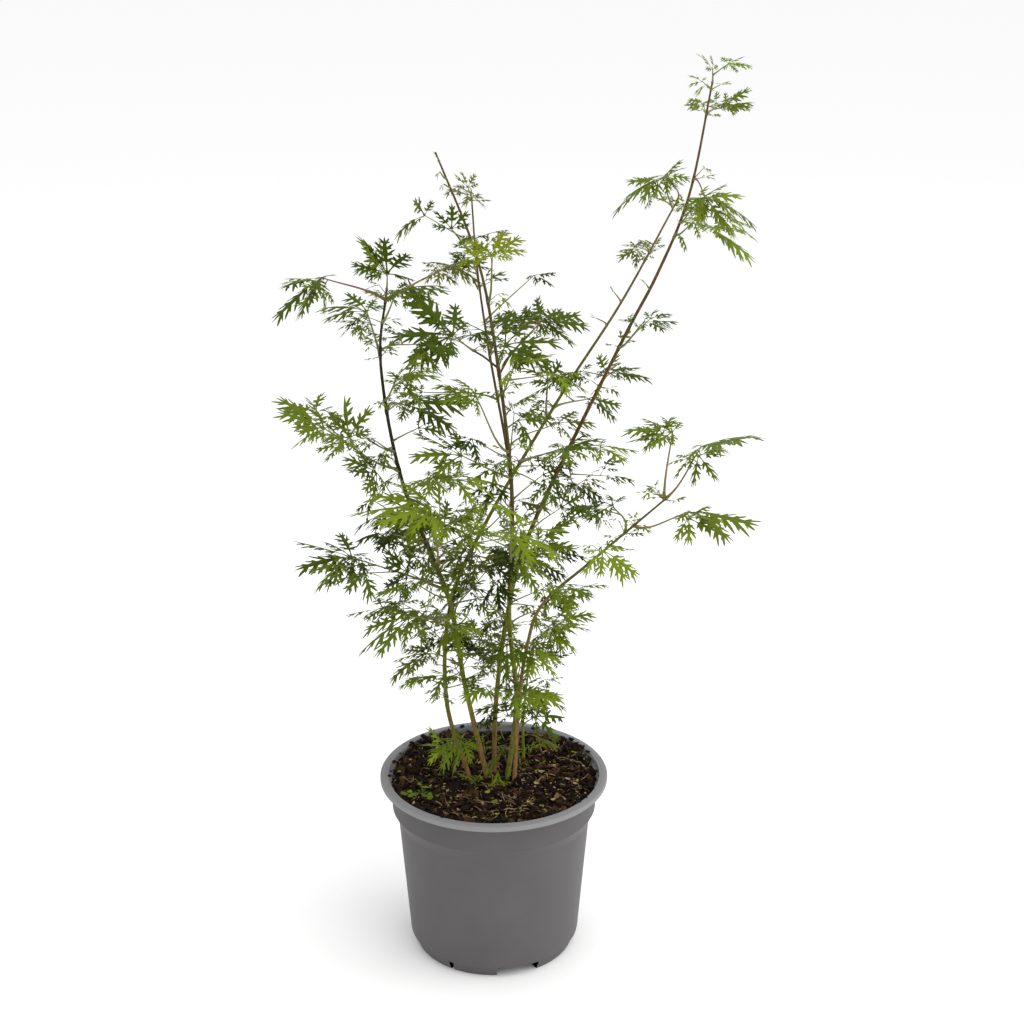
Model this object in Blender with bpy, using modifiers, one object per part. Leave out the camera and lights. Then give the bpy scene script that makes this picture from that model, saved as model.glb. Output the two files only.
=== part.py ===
# A potted japanese maple: a clump of five slender canes with finely cut leaves, in a grey nursery pot.
# Metres, +Z up. The photographed side faces -Y, and the origin is the centre of the pot's underside.

import math
import random

import bmesh
import bpy
from mathutils import Matrix, Vector
from mathutils.bvhtree import BVHTree
from mathutils.geometry import interpolate_bezier

MM = 0.001
GAP = 0.0003                    # clearance between neighbouring pieces

# Pot: a 3 litre nursery pot, 190 mm across the rim.
POT_HEIGHT = 0.156
RIM_RADIUS = 0.095
LIP_WIDTH = 0.007
LIP_DEPTH = 0.0047
LIP_EDGE = 0.0008               # rounding of the lip's edges
WALL = 0.002
COLLAR_TOP_RADIUS = 0.0865      # outside of the collar under the lip
COLLAR_FOOT = (0.0848, 0.127)   # radius and height where the stacking step starts
STEP_FOOT = (0.0802, 0.117)     # radius and height where it ends
WALL_FOOT = (0.0712, 0.0105)    # radius and height of the wall above the lugs
LUG_HEIGHT = 0.0085
LUG_TOP_RADIUS = 0.0692
LUG_RADIUS = 0.066
LUG_INNER_RADIUS = 0.056
BOSS_RADIUS = 0.022             # flat disc in the middle of the underside
FLOOR_TOP = 0.011
TURN_STEPS = 32

# Gaps between the lugs, as angles to the right of the front in degrees, and their widths.
WIDE_GAPS = (17.5, 137.5, 257.5)
WIDE_GAP = 0.033
NARROW_GAPS = (-31.0, 76.0, 200.0)
NARROW_GAP = 0.0035

# Soil, with a level middle that the canes stand on.
SOIL_TOP = 0.150
SOIL_FLAT_RADIUS = 0.062
SOIL_EDGE = 0.149

# Limbs, in millimetres: the points that each one passes, its foot radius and its tip radius.
# A limb with a carrier starts on that limb, at a share of its length, in place of a first point.
LIMBS = {
    "cane_crossing": dict(foot=1.9, tip=0.65, route=[
        (-19, -3, 147), (-39, 2, 221), (-35, 14, 302), (-7, 40, 362), (55, 58, 467), (103, 71, 541),
        (147, 82, 622)]),
    "cane_left": dict(foot=2.2, tip=0.8, route=[
        (-5, 1, 147), (-24, 2, 237), (-36, -12, 319), (-70, -30, 424), (-84, -38, 520), (-78, -40, 580)]),
    "cane_tall": dict(foot=2.1, tip=0.65, route=[
        (0, 10, 147), (2, 20, 213), (12, 34, 288), (32, 34, 363), (98, 6, 521), (126, -7, 584),
        (147, -20, 647), (160, -32, 731)]),
    "cane_centre": dict(foot=2.2, tip=0.65, route=[
        (11, 0, 147), (19, 8, 218), (13, 6, 293), (15, 0, 406), (2, -6, 527), (-12, -14, 600),
        (-41, -26, 679)]),
    "cane_right": dict(foot=1.8, tip=0.7, route=[
        (17, -7, 147), (21, -14, 229), (28, -26, 286), (40, -38, 325), (75, -60, 368), (132, -80, 429)]),
    "basal_shoot": dict(foot=1.2, tip=0.7, route=[
        (25, 36, 147), (25, 38, 190), (31, 48, 243)]),
    "centre_fork": dict(foot=1.2, tip=0.6, carrier="cane_centre", at=0.51, route=[
        (9, 11, 450), (-3, 20, 516), (-12, 29, 580), (-16, 36, 633)]),
    "bough_left": dict(foot=0.9, tip=0.7, carrier="cane_centre", at=0.67, route=[
        (-6, -2, 516), (-15, 0, 521)]),
    "bough_right": dict(foot=0.9, tip=0.7, carrier="cane_centre", at=0.66, route=[
        (14, 8, 515), (25, 18, 525)]),
}
ROOT_FLARE = 0.7                # millimetres added to a cane's radius at the soil
FLARE_LENGTH = 9.0              # millimetres over which the flare fades
FLARE_RINGS = (9.0, 20.0)       # millimetres up a cane, rings that give the flare its shape
SHOULDER = 3.0                  # millimetres that a side limb runs straight out of its carrier
TAPER = 0.75                    # power of the fall in radius, a little faster towards the tip
SAMPLE_STEP = 46.0              # millimetres between the rings of a limb

# Masses of foliage: name, limb that carries it, and share of that limb's length where the stalk leaves.
# Stalk: azimuth, rise (degrees) and length (mm). Blade: azimuth, pitch (degrees), reach (mm) and roll
# about its middle leaflet (degrees). Then the number of leaves, and the side that the second
# one is on, 1 for anticlockwise from above.
MASSES = [
    ("top_tuft", "cane_tall", 1.0, (-100, 65, 10), (150, 62, 18, 0), 2, 1),
    ("top_whorl", "cane_tall", 0.96, (55, 5, 25), (30, 15, 29, 0), 2, 1),
    ("high_right_front", "cane_tall", 0.88, (-80, -10, 35), (-25, -26, 50, 0), 1, 1),
    ("high_right_back", "cane_tall", 0.84, (55, -30, 33), (25, -20, 50, 0), 2, -1),
    ("tall_middle", "cane_tall", 0.64, (-60, 40, 44), (-10, 10, 30, 0), 2, 1),
    ("tall_behind", "cane_tall", 0.58, (75, 0, 38), (30, 0, 40, 0), 2, 1),
    ("tall_dark", "cane_tall", 0.45, (75, -30, 56), (35, -25, 36, 10), 3, 1),
    ("tall_low", "cane_tall", 0.32, (75, -35, 48), (45, -20, 36, 10), 4, 1),
    ("tall_core", "cane_tall", 0.17, (120, 0, 42), (140, 20, 34, 0), 5, -1),
    ("crossing_tip", "cane_crossing", 1.0, (-130, 50, 28), (180, -8, 46, 10), 1, 1),
    ("crossing_high", "cane_crossing", 0.90, (70, 10, 26), (110, 15, 20, 0), 2, 1),
    ("crossing_front", "cane_crossing", 0.62, (-90, 60, 44), (-100, 60, 34, 0), 1, 1),
    ("crossing_back", "cane_crossing", 0.64, (50, -5, 45), (25, -15, 38, 10), 2, 1),
    ("crossing_fan", "cane_crossing", 0.54, (-65, 25, 78), (-10, 0, 46, 0), 3, -1),
    ("crossing_low", "cane_crossing", 0.15, (-90, 45, 50), (-150, 5, 28, -10), 4, 1),
    ("pot_edge_leaf", "cane_crossing", 0.06, (-85, 35, 44), (-140, -25, 36, 0), 2, 1),
    ("left_top", "cane_left", 1.0, (-80, 65, 14), (-110, 60, 42, 0), 1, 1),
    ("left_tan_twig", "cane_left", 0.98, (30, 20, 58), (20, -20, 28, 0), 2, -1),
    ("far_left", "cane_left", 0.98, (-155, 24, 55), (-165, -22, 46, 0), 1, 1),
    ("left_upper_back", "cane_left", 0.88, (105, 25, 54), (150, 5, 42, -10), 1, 1),
    ("left_upper_front", "cane_left", 0.94, (-70, 40, 53), (-35, 10, 45, 0), 1, 1),
    ("left_inner", "cane_left", 0.89, (35, 0, 34), (-15, -10, 32, 10), 2, 1),
    ("left_middle_front", "cane_left", 0.80, (-70, 40, 44), (0, 25, 34, 0), 2, 1),
    ("left_middle_right", "cane_left", 0.78, (75, -10, 46), (15, 0, 52, 5), 1, 1),
    ("left_long_stalk", "cane_left", 0.67, (-150, 35, 76), (165, 55, 46, 0), 4, -1),
    ("left_arching", "cane_left", 0.62, (-70, 30, 63), (-20, -10, 42, 0), 2, 1),
    ("left_comb", "cane_left", 0.51, (100, 5, 38), (165, 0, 38, -10), 4, 1),
    ("front_broad", "cane_left", 0.47, (-90, 45, 105), (-170, 20, 56, -10), 2, 1),
    ("left_low_long", "cane_left", 0.41, (160, 12, 84), (170, 15, 50, -5), 5, -1),
    ("left_low", "cane_left", 0.35, (-125, 20, 62), (-165, -14, 48, -10), 5, 1),
    ("centre_high_left", "cane_centre", 0.84, (-115, 35, 51), (-85, 65, 26, 0), 2, 1),
    ("centre_high_right", "cane_centre", 0.77, (-85, 45, 66), (-80, 65, 36, 0), 1, 1),
    ("centre_right_front", "cane_centre", 0.63, (-80, 35, 63), (-50, 45, 38, 10), 2, 1),
    ("centre_left_front", "cane_centre", 0.54, (-120, 50, 78), (-170, 25, 38, -10), 1, 1),
    ("centre_left_broad", "cane_centre", 0.50, (-130, 30, 68), (165, 25, 44, -5), 1, 1),
    ("front_centre", "cane_centre", 0.36, (-90, 35, 111), (-30, 0, 46, 0), 2, -1),
    ("bough_left_end", "bough_left", 1.0, (135, 20, 24), (170, 30, 56, -30), 3, 1),
    ("bough_right_end", "bough_right", 1.0, (50, 25, 24), (30, 5, 44, 15), 2, 1),
    ("fork_tip", "centre_fork", 1.0, (145, 65, 8), (120, 60, 18, 0), 2, 1),
    ("fork_high", "centre_fork", 0.68, (95, 5, 49), (105, 20, 30, 0), 2, 1),
    ("fork_low", "centre_fork", 0.43, (80, 5, 68), (70, 30, 40, 0), 3, 1),
    ("right_end", "cane_right", 1.0, (-20, 60, 50), (-5, 10, 54, -10), 1, 1),
    ("right_upper", "cane_right", 0.99, (73, 65, 52), (170, 5, 42, -5), 1, 1),
    ("right_outer", "cane_right", 0.89, (-45, 25, 61), (-10, -5, 58, -10), 1, 1),
    ("right_inner", "cane_right", 0.86, (100, 10, 43), (160, -10, 42, 0), 2, 1),
    ("right_under", "cane_right", 0.78, (-90, 25, 34), (-60, -20, 36, 0), 1, 1),
    ("right_middle", "cane_right", 0.60, (-80, 30, 44), (-65, -25, 30, 0), 2, 1),
    ("right_low", "cane_right", 0.25, (-95, 35, 38), (-25, 5, 42, 0), 4, 1),
    ("shoot_end", "basal_shoot", 1.0, (40, 40, 32), (20, 5, 40, 0), 4, -1),
]
CURVE_OUT = 0.35                # how far a stalk keeps its first direction, as a share of its length
AXIL = math.radians(30)         # lean of a stalk along its limb where it leaves
STALK_END = 0.0003              # radius of a stalk at its hub, inside the blade
LONG_STALK = 0.040              # a longer stalk is thicker and has one more bend
STALK_RADII = (0.0010, 0.0008)  # at the foot of a long and of a short stalk

# Rule for the leaves of a mass after its main one: ranges that are drawn from, in degrees and shares.
FIRST_FORK = 0.30               # share of the main stalk where the first side stalk could leave
FORK_SPAN = 0.55                # share of it that the side stalks are spread over
FORK_TURN = (60, 85)            # turn of a side stalk away from the main one
FORK_RISE = (-10, 20)           # added to half the main stalk's rise
SIDE_LENGTH = (0.40, 0.60)      # of the main stalk's length
SIDE_REACH = (0.62, 0.80)       # of the main blade's reach
SIDE_AIM = (-10, 20)            # turn of a side blade back towards the main one
SIDE_TILT = 20                  # most pitch and roll of a side blade, either way
SIDE_LEAST = 14                 # millimetres, least length and reach
SIDE_RADIUS = 0.0006

# Blade: a hub with cut leaflets round it. Shares of the leaf's reach, and of each leaflet's length.
BLADE_SHARE = 0.022             # thickness at the hub, as a share of the reach
THINNEST = 0.0009               # least thickness at the hub
HUB_SHARE = 0.09
HEEL_SHARE = 0.07
FOLD = 0.25                     # fall of a leaflet's margins below its rib
DROOP = 0.16                    # fall of a leaf's tip below its plane
SEVEN_LEAFLETS = ((0, 1.0), (37, 0.93), (75, 0.72), (114, 0.46))
FIVE_LEAFLETS = ((0, 1.0), (43, 0.85), (88, 0.56))
CUT_MARGIN = (((0.52, 0.155), (0.46, 0.060)), ((0.79, 0.120), (0.71, 0.045)))
PLAIN_MARGIN = (((0.60, 0.130), (0.50, 0.0)),)
BROAD_REACH = 0.034             # a leaf with more reach than this has seven leaflets
RIB_FALL = 0.8                  # share of the hub's thickness that a rib has lost at its tip
FEEL = 0.0005                   # a blade is swollen by this while its clearance is tested


def material(name, colour, roughness):
    made = bpy.data.materials.new(name)
    made.use_nodes = True
    shader = made.node_tree.nodes["Principled BSDF"]
    shader.inputs["Base Color"].default_value = (*colour, 1.0)
    shader.inputs["Roughness"].default_value = roughness
    shader.inputs["Metallic"].default_value = 0.0
    return made


def heading(azimuth, rise):
    # Unit vector from an azimuth and a rise above the horizontal, both in degrees.
    turn = math.radians(azimuth)
    lift = math.radians(rise)
    return Vector((math.cos(lift) * math.cos(turn), math.cos(lift) * math.sin(turn), math.sin(lift)))


def new_object(name, mesh, collection, finish):
    made = bpy.data.objects.new(name, mesh)
    mesh.materials.append(finish)
    collection.objects.link(made)
    return made


def mesh_of(bm, name):
    bmesh.ops.recalc_face_normals(bm, faces=bm.faces[:])
    made = bpy.data.meshes.new(name)
    bm.to_mesh(made)
    bm.free()
    return made


# Pot and soil

def turned(name, profile, collection, finish):
    # A closed profile, from the axis up the inside and down the outside to the axis again, turned by Screw.
    bm = bmesh.new()
    points = [bm.verts.new((radius, 0.0, height)) for radius, height in profile]
    for first, second in zip(points, points[1:]):
        bm.edges.new((first, second))
    mesh = bpy.data.meshes.new(name)
    bm.to_mesh(mesh)
    bm.free()
    made = new_object(name, mesh, collection, finish)
    screw = made.modifiers.new("turn", "SCREW")
    screw.steps = TURN_STEPS
    screw.render_steps = TURN_STEPS
    screw.use_merge_vertices = True
    screw.merge_threshold = 0.00005
    screw.use_smooth_shade = True
    return made


def inner_wall():
    # Inside of the wall from the floor up to the collar, as radius and height.
    outside = [WALL_FOOT, STEP_FOOT, COLLAR_FOOT]
    return [(radius - WALL, height) for radius, height in outside]


def make_pot(collection, cutters, finish):
    lip_top = POT_HEIGHT
    lip_bottom = POT_HEIGHT - LIP_DEPTH
    lip_inner = RIM_RADIUS - LIP_WIDTH
    foot, step, collar = inner_wall()
    inside = [
        (0.0, FLOOR_TOP),
        (foot[0] - WALL / 2, FLOOR_TOP),
        (foot[0], FLOOR_TOP + WALL),
        step,
        collar,
        (COLLAR_TOP_RADIUS - WALL, lip_bottom - WALL / 2),
        (lip_inner - LIP_EDGE, lip_bottom + LIP_EDGE),
        (lip_inner, lip_top - LIP_EDGE),
    ]
    outside = [
        (lip_inner + LIP_EDGE, lip_top),
        (RIM_RADIUS - 2 * LIP_EDGE, lip_top),
        (RIM_RADIUS, lip_top - LIP_EDGE),
        (RIM_RADIUS, lip_bottom + LIP_EDGE),
        (RIM_RADIUS - LIP_EDGE, lip_bottom),
        (COLLAR_TOP_RADIUS, lip_bottom),
        COLLAR_FOOT,
        STEP_FOOT,
        WALL_FOOT,
        (LUG_TOP_RADIUS + LIP_EDGE, LUG_HEIGHT + LIP_EDGE),
        (LUG_TOP_RADIUS, LUG_HEIGHT),
        (LUG_RADIUS, 0.0),
        (LUG_INNER_RADIUS, 0.0),
        (LUG_INNER_RADIUS, LUG_HEIGHT),
        (BOSS_RADIUS, LUG_HEIGHT),
        (BOSS_RADIUS, 0.0),
        (0.0, 0.0),
    ]
    pot = turned("pot", inside + outside, collection, finish)
    for angle in WIDE_GAPS:
        lug_cutter(angle, WIDE_GAP, cutters)
    for angle in NARROW_GAPS:
        lug_cutter(angle, NARROW_GAP, cutters)
    cut = pot.modifiers.new("lug gaps", "BOOLEAN")
    cut.operation = "DIFFERENCE"
    cut.operand_type = "COLLECTION"
    cut.collection = cutters
    cut.solver = "EXACT"
    return pot


def lug_cutter(angle, width, cutters):
    # A box through the ring of lugs, as high as the raised floor.
    reach = 0.02
    height = LUG_HEIGHT - GAP
    turn = math.radians(angle - 90.0)
    middle = (LUG_INNER_RADIUS + LUG_TOP_RADIUS) / 2
    bm = bmesh.new()
    bmesh.ops.create_cube(bm, size=1.0)
    bmesh.ops.scale(bm, vec=(reach, width, 2 * height), verts=bm.verts[:])
    box = bpy.data.objects.new("lug_gap", mesh_of(bm, "lug_gap"))
    box.location = (middle * math.cos(turn), middle * math.sin(turn), 0.0)
    box.rotation_euler = (0.0, 0.0, turn)
    box.hide_render = True
    box.display_type = "WIRE"
    cutters.objects.link(box)


def make_soil(collection, finish):
    foot, step, collar = inner_wall()
    slope = (COLLAR_TOP_RADIUS - COLLAR_FOOT[0]) / (POT_HEIGHT - LIP_DEPTH - COLLAR_FOOT[1])
    edge_radius = collar[0] - GAP + (SOIL_EDGE - collar[1]) * slope
    profile = [
        (0.0, SOIL_TOP),
        (SOIL_FLAT_RADIUS, SOIL_TOP),
        ((SOIL_FLAT_RADIUS + edge_radius) / 2, (2 * SOIL_TOP + SOIL_EDGE) / 3),
        (edge_radius, SOIL_EDGE),
        (collar[0] - GAP, collar[1]),
        (step[0] - GAP, step[1]),
        (foot[0] - GAP, FLOOR_TOP + WALL),
        (foot[0] - WALL / 2 - GAP, FLOOR_TOP + GAP),
        (0.0, FLOOR_TOP + GAP),
    ]
    return turned("soil", profile, collection, finish)


# Limbs

class Limb:
    # A tapering limb: points and radii in metres, from its foot to its tip.

    def __init__(self, name, foot, tip, route, carrier=None, at=None):
        route = [Vector(point) * MM for point in route]
        self.name = name
        self.rooted = carrier is None
        if carrier:
            start, out = leave(carrier, at, route[0], foot * MM)
            route = [start] + route
        smooth = smooth_route(route)
        length = lengths(smooth)
        total = length[-1]
        stops = [0.0]
        if self.rooted:
            stops += [ring * MM for ring in FLARE_RINGS]
        else:
            stops.append(SHOULDER * MM)
        count = max(2, round((total - stops[-1]) / (SAMPLE_STEP * MM)))
        stops += [stops[-1] + (total - stops[-1]) * (i + 1) / count for i in range(count)]
        self.points = [point_at(smooth, length, stop) for stop in stops]
        if carrier:
            self.points[1] = start + out * SHOULDER * MM
        self.radii = []
        for stop in stops:
            radius = tip + (foot - tip) * (1 - stop / total) ** TAPER
            if self.rooted:
                radius += ROOT_FLARE * math.exp(-2 * stop / (FLARE_LENGTH * MM))
            self.radii.append(radius * MM)
        self.length = lengths(self.points)

    def at(self, share):
        # Point, direction and radius at a share of the limb's length.
        goal = share * self.length[-1]
        index = 1
        while index < len(self.length) - 1 and self.length[index] < goal:
            index += 1
        span = self.length[index] - self.length[index - 1]
        part = (goal - self.length[index - 1]) / span
        point = self.points[index - 1].lerp(self.points[index], part)
        direction = (self.points[index] - self.points[index - 1]).normalized()
        radius = self.radii[index - 1] * (1 - part) + self.radii[index] * part
        return point, direction, radius


def smooth_route(route, parts=12):
    # A Catmull-Rom curve through the route's points.
    padded = [2 * route[0] - route[1], *route, 2 * route[-1] - route[-2]]
    smooth = []
    for index in range(1, len(padded) - 2):
        before, here, there, after = padded[index - 1:index + 3]
        for step in range(parts):
            t = step / parts
            smooth.append(0.5 * (2 * here + (there - before) * t
                                 + (2 * before - 5 * here + 4 * there - after) * t ** 2
                                 + (3 * here - before - 3 * there + after) * t ** 3))
    smooth.append(route[-1])
    return smooth


def lengths(points):
    total = [0.0]
    for first, second in zip(points, points[1:]):
        total.append(total[-1] + (second - first).length)
    return total


def point_at(points, length, stop):
    index = 1
    while index < len(points) - 1 and length[index] < stop:
        index += 1
    part = (stop - length[index - 1]) / (length[index] - length[index - 1])
    return points[index - 1].lerp(points[index], min(part, 1.0))


def leave(limb, share, goal, radius):
    # Start point and first direction of a side limb or stalk, clear of the limb that carries it.
    point, along, thick = limb.at(share)
    if share > 0.995:
        return point + along * GAP, along
    side = goal - point
    side = (side - along * side.dot(along)).normalized()
    out = side * math.cos(AXIL) + along * math.sin(AXIL)
    away = (thick + GAP + radius * math.sin(AXIL)) / math.cos(AXIL)
    return point + out * away, out


def limb_mesh(limb):
    # A curve with a round bevel, which the points' radii taper, made a mesh with its caps welded.
    curve = bpy.data.curves.new(limb.name, "CURVE")
    curve.dimensions = "3D"
    curve.bevel_depth = MM
    curve.bevel_resolution = 2
    curve.use_fill_caps = True
    spline = curve.splines.new("POLY")
    spline.points.add(len(limb.points) - 1)
    for knot, point, radius in zip(spline.points, limb.points, limb.radii):
        knot.co = (*point, 1.0)
        knot.radius = radius / MM
    guide = bpy.data.objects.new(limb.name, curve)
    bpy.context.scene.collection.objects.link(guide)
    mesh = bpy.data.meshes.new_from_object(guide.evaluated_get(bpy.context.evaluated_depsgraph_get()))
    bpy.data.objects.remove(guide)
    bm = bmesh.new()
    bm.from_mesh(mesh)
    bmesh.ops.remove_doubles(bm, verts=bm.verts[:], dist=0.00001)
    if limb.rooted:
        geometry = bm.verts[:] + bm.edges[:] + bm.faces[:]
        cut = bmesh.ops.bisect_plane(bm, geom=geometry, plane_co=(0, 0, SOIL_TOP + GAP),
                                     plane_no=(0, 0, 1), clear_inner=True)
        edges = [part for part in cut["geom_cut"] if isinstance(part, bmesh.types.BMEdge)]
        bmesh.ops.contextual_create(bm, geom=edges)
    return mesh_of(bm, limb.name)


# Foliage

def stalk_points(start, out, hub):
    # A stalk that leaves along out and bends to the hub, in the thick of the blade.
    reach = (hub - start).length
    bends = 4 if reach > LONG_STALK else 3
    arrive = (hub - start).normalized()
    path = interpolate_bezier(start, start + out * reach * CURVE_OUT,
                              hub - arrive * reach * CURVE_OUT, hub, bends)
    return [Vector(point) for point in path]


def twig_mesh(name, points, out, foot, tip):
    # A three-sided tapering twig, drawn out of a triangle ring by ring. Its first ring faces along out.
    bm = bmesh.new()
    count = len(points) - 1
    directions = [out]
    for before, after in zip(points, points[2:] + points[-1:]):
        directions.append((after - before).normalized())
    turn = directions[0].to_track_quat("Z", "Y")
    frames = []
    for index, point in enumerate(points):
        if index:
            turn = directions[index - 1].rotation_difference(directions[index]) @ turn
        radius = foot + (tip - foot) * index / count
        frames.append(Matrix.LocRotScale(point, turn, Vector((radius, radius, radius))))
    bmesh.ops.create_circle(bm, cap_ends=True, segments=3, radius=1.0, matrix=frames[0])
    face = bm.faces[:][0]
    for before, after in zip(frames, frames[1:]):
        grown = bmesh.ops.extrude_face_region(bm, geom=[face, *face.edges])["geom"]
        ring = [part for part in grown if isinstance(part, bmesh.types.BMVert)]
        face = [part for part in grown if isinstance(part, bmesh.types.BMFace)][0]
        bmesh.ops.transform(bm, matrix=after @ before.inverted(), verts=ring)
    return mesh_of(bm, name)


def leaflets_of(reach, small):
    # Angle, length and margin of each leaflet, from one side of the leaf to the other.
    broad = reach > BROAD_REACH and not small
    half = SEVEN_LEAFLETS if broad else FIVE_LEAFLETS
    fan = []
    for rank, (angle, length) in enumerate(half):
        margin = CUT_MARGIN if rank < 2 and not small else PLAIN_MARGIN
        fan.append((angle, length, margin))
        if rank:
            fan.insert(0, (-angle, length, margin))
    return fan


def blade_mesh(name, reach, small, swell=0.0):
    # A closed blade about its hub: an upper and a lower sheet that meet at the margin of every leaflet.
    fan = leaflets_of(reach, small)
    thick = max(BLADE_SHARE * reach, THINNEST) / 2 + swell
    reach += swell
    bm = bmesh.new()

    def place(x, y, height):
        fall = DROOP * (x * x + y * y) / reach
        return bm.verts.new((x, y, height - fall))

    hub = [place(0.0, 0.0, thick), place(0.0, 0.0, -thick)]
    half_gap = (fan[1][0] - fan[0][0]) / 2
    sinuses = [(a[0] + b[0]) / 2 for a, b in zip(fan, fan[1:])]
    corners = []
    for angle in (fan[0][0] - half_gap, *sinuses, fan[-1][0] + half_gap):
        turn = math.radians(angle)
        corners.append(place(HUB_SHARE * reach * math.cos(turn), HUB_SHARE * reach * math.sin(turn), 0.0))
    heel = place(-HEEL_SHARE * reach, 0.0, 0.0)
    faces = [(hub[0], corners[-1], heel), (hub[0], heel, corners[0]),
             (hub[1], heel, corners[-1]), (hub[1], corners[0], heel)]
    for index, (angle, length, margin) in enumerate(fan):
        turn = math.radians(angle)
        size = length * reach

        def along(share, side, height):
            x = share * size * math.cos(turn) - side * size * math.sin(turn)
            y = share * size * math.sin(turn) + side * size * math.cos(turn)
            return place(x, y, height - FOLD * abs(side) * size)

        ribs = [hub]
        for lobe, bay in margin:
            part = thick * (1 - RIB_FALL * bay[0])
            ribs.append([along(bay[0], 0.0, part), along(bay[0], 0.0, -part)])
        tip = along(1.0, 0.0, 0.0)
        for side, corner in ((-1, corners[index]), (1, corners[index + 1])):
            inner = corner
            for rank, (lobe, bay) in enumerate(margin):
                outer = along(lobe[0], side * lobe[1], 0.0)
                notch = along(bay[0], side * bay[1], 0.0) if bay[1] else None
                for sheet in (0, 1):
                    root = ribs[rank][sheet]
                    rib = ribs[rank + 1][sheet]
                    faces += [(root, rib, inner), (inner, rib, outer)]
                    if notch:
                        faces.append((outer, rib, notch))
                inner = notch or outer
            for sheet in (0, 1):
                faces.append((ribs[-1][sheet], tip, inner))
    for face in faces:
        bm.faces.new(face)
    return mesh_of(bm, name)


def blade_matrix(hub, azimuth, pitch, roll):
    forward = heading(azimuth, pitch)
    across = Vector((0, 0, 1)).cross(forward).normalized()
    upward = forward.cross(across)
    turn = Matrix((forward, across, upward)).transposed().to_4x4()
    return Matrix.Translation(hub) @ turn @ Matrix.Rotation(math.radians(roll), 4, "X")


def leaves_of(mass, limbs):
    # The leaves of one mass: the main one as the table gives it, and the others branching from its stalk.
    name, carrier, at, stalk, blade, count, side = mass
    draw = random.Random(name)
    root = limbs[carrier].at(at)[0]
    hub = root + heading(stalk[0], stalk[1]) * stalk[2] * MM
    thick = STALK_RADII[0] if stalk[2] * MM > LONG_STALK else STALK_RADII[1]
    start, out = leave(limbs[carrier], at, hub, thick)
    main = dict(points=stalk_points(start, out, hub), out=out, foot=thick, small=False,
                matrix=blade_matrix(hub, blade[0], blade[1], blade[3]), reach=blade[2] * MM)
    leaves = [main]
    length = lengths(main["points"])
    for rank in range(1, count):
        share = FIRST_FORK + FORK_SPAN * rank / count
        fork = point_at(main["points"], length, share * length[-1])
        azimuth = stalk[0] + side * draw.uniform(*FORK_TURN)
        rise = stalk[1] / 2 + draw.uniform(*FORK_RISE)
        reach = max(blade[2] * draw.uniform(*SIDE_REACH), SIDE_LEAST) * MM
        span = max(stalk[2] * draw.uniform(*SIDE_LENGTH), SIDE_LEAST) * MM
        aim_azimuth = azimuth - side * draw.uniform(*SIDE_AIM)
        pitch = draw.uniform(-SIDE_TILT, SIDE_TILT)
        roll = draw.uniform(-SIDE_TILT, SIDE_TILT)
        out = heading(azimuth, rise)
        goal = fork + out * span
        leaves.append(dict(points=stalk_points(fork, out, goal), out=out, foot=SIDE_RADIUS, small=True,
                           matrix=blade_matrix(goal, aim_azimuth, pitch, roll), reach=reach))
        side = -side
    return leaves


def tree_of(mesh):
    bm = bmesh.new()
    bm.from_mesh(mesh)
    tree = BVHTree.FromBMesh(bm)
    bm.free()
    return tree


def feelers(leaf):
    # Slightly swollen copies of a leaf's blade and twig, which find what the leaf would touch.
    blade = blade_mesh("feeler", leaf["reach"], leaf["small"], swell=FEEL)
    blade.transform(leaf["matrix"])
    twig = twig_mesh("feeler", leaf["points"], leaf["out"], leaf["foot"] + GAP, STALK_END + GAP)
    trees = tree_of(blade), tree_of(twig)
    bpy.data.meshes.remove(blade)
    bpy.data.meshes.remove(twig)
    return trees


def join(name, meshes, collection, finish):
    # One Boolean union of a mass's twigs and blades, with what the solver leaves loose dropped.
    loose = bpy.data.collections.new("loose")
    bpy.context.scene.collection.children.link(loose)
    first, *others = [bpy.data.objects.new("loose", mesh) for mesh in meshes]
    for other in others:
        loose.objects.link(other)
    bpy.context.scene.collection.objects.link(first)
    union = first.modifiers.new("join", "BOOLEAN")
    union.operation = "UNION"
    union.operand_type = "COLLECTION"
    union.collection = loose
    union.solver = "EXACT"
    mesh = bpy.data.meshes.new_from_object(first.evaluated_get(bpy.context.evaluated_depsgraph_get()))
    for made in (first, *others):
        bpy.data.objects.remove(made)
    bpy.data.collections.remove(loose)
    bm = bmesh.new()
    bm.from_mesh(mesh)
    bmesh.ops.triangulate(bm, faces=bm.faces[:])
    bodies = shells(bm)
    scraps = [vertex for body in bodies[1:] for vertex in body]
    bmesh.ops.delete(bm, geom=scraps, context="VERTS")
    bm.to_mesh(mesh)
    bm.free()
    mesh.name = name
    mesh.materials.clear()
    new_object(name, mesh, collection, finish)


def shells(bm):
    # The mesh's connected groups of vertices, the largest first.
    left = set(bm.verts)
    groups = []
    while left:
        group = set()
        reach = [left.pop()]
        while reach:
            vertex = reach.pop()
            group.add(vertex)
            for edge in vertex.link_edges:
                other = edge.other_vert(vertex)
                if other in left:
                    left.remove(other)
                    reach.append(other)
        groups.append(group)
    return sorted(groups, key=len, reverse=True)


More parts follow.
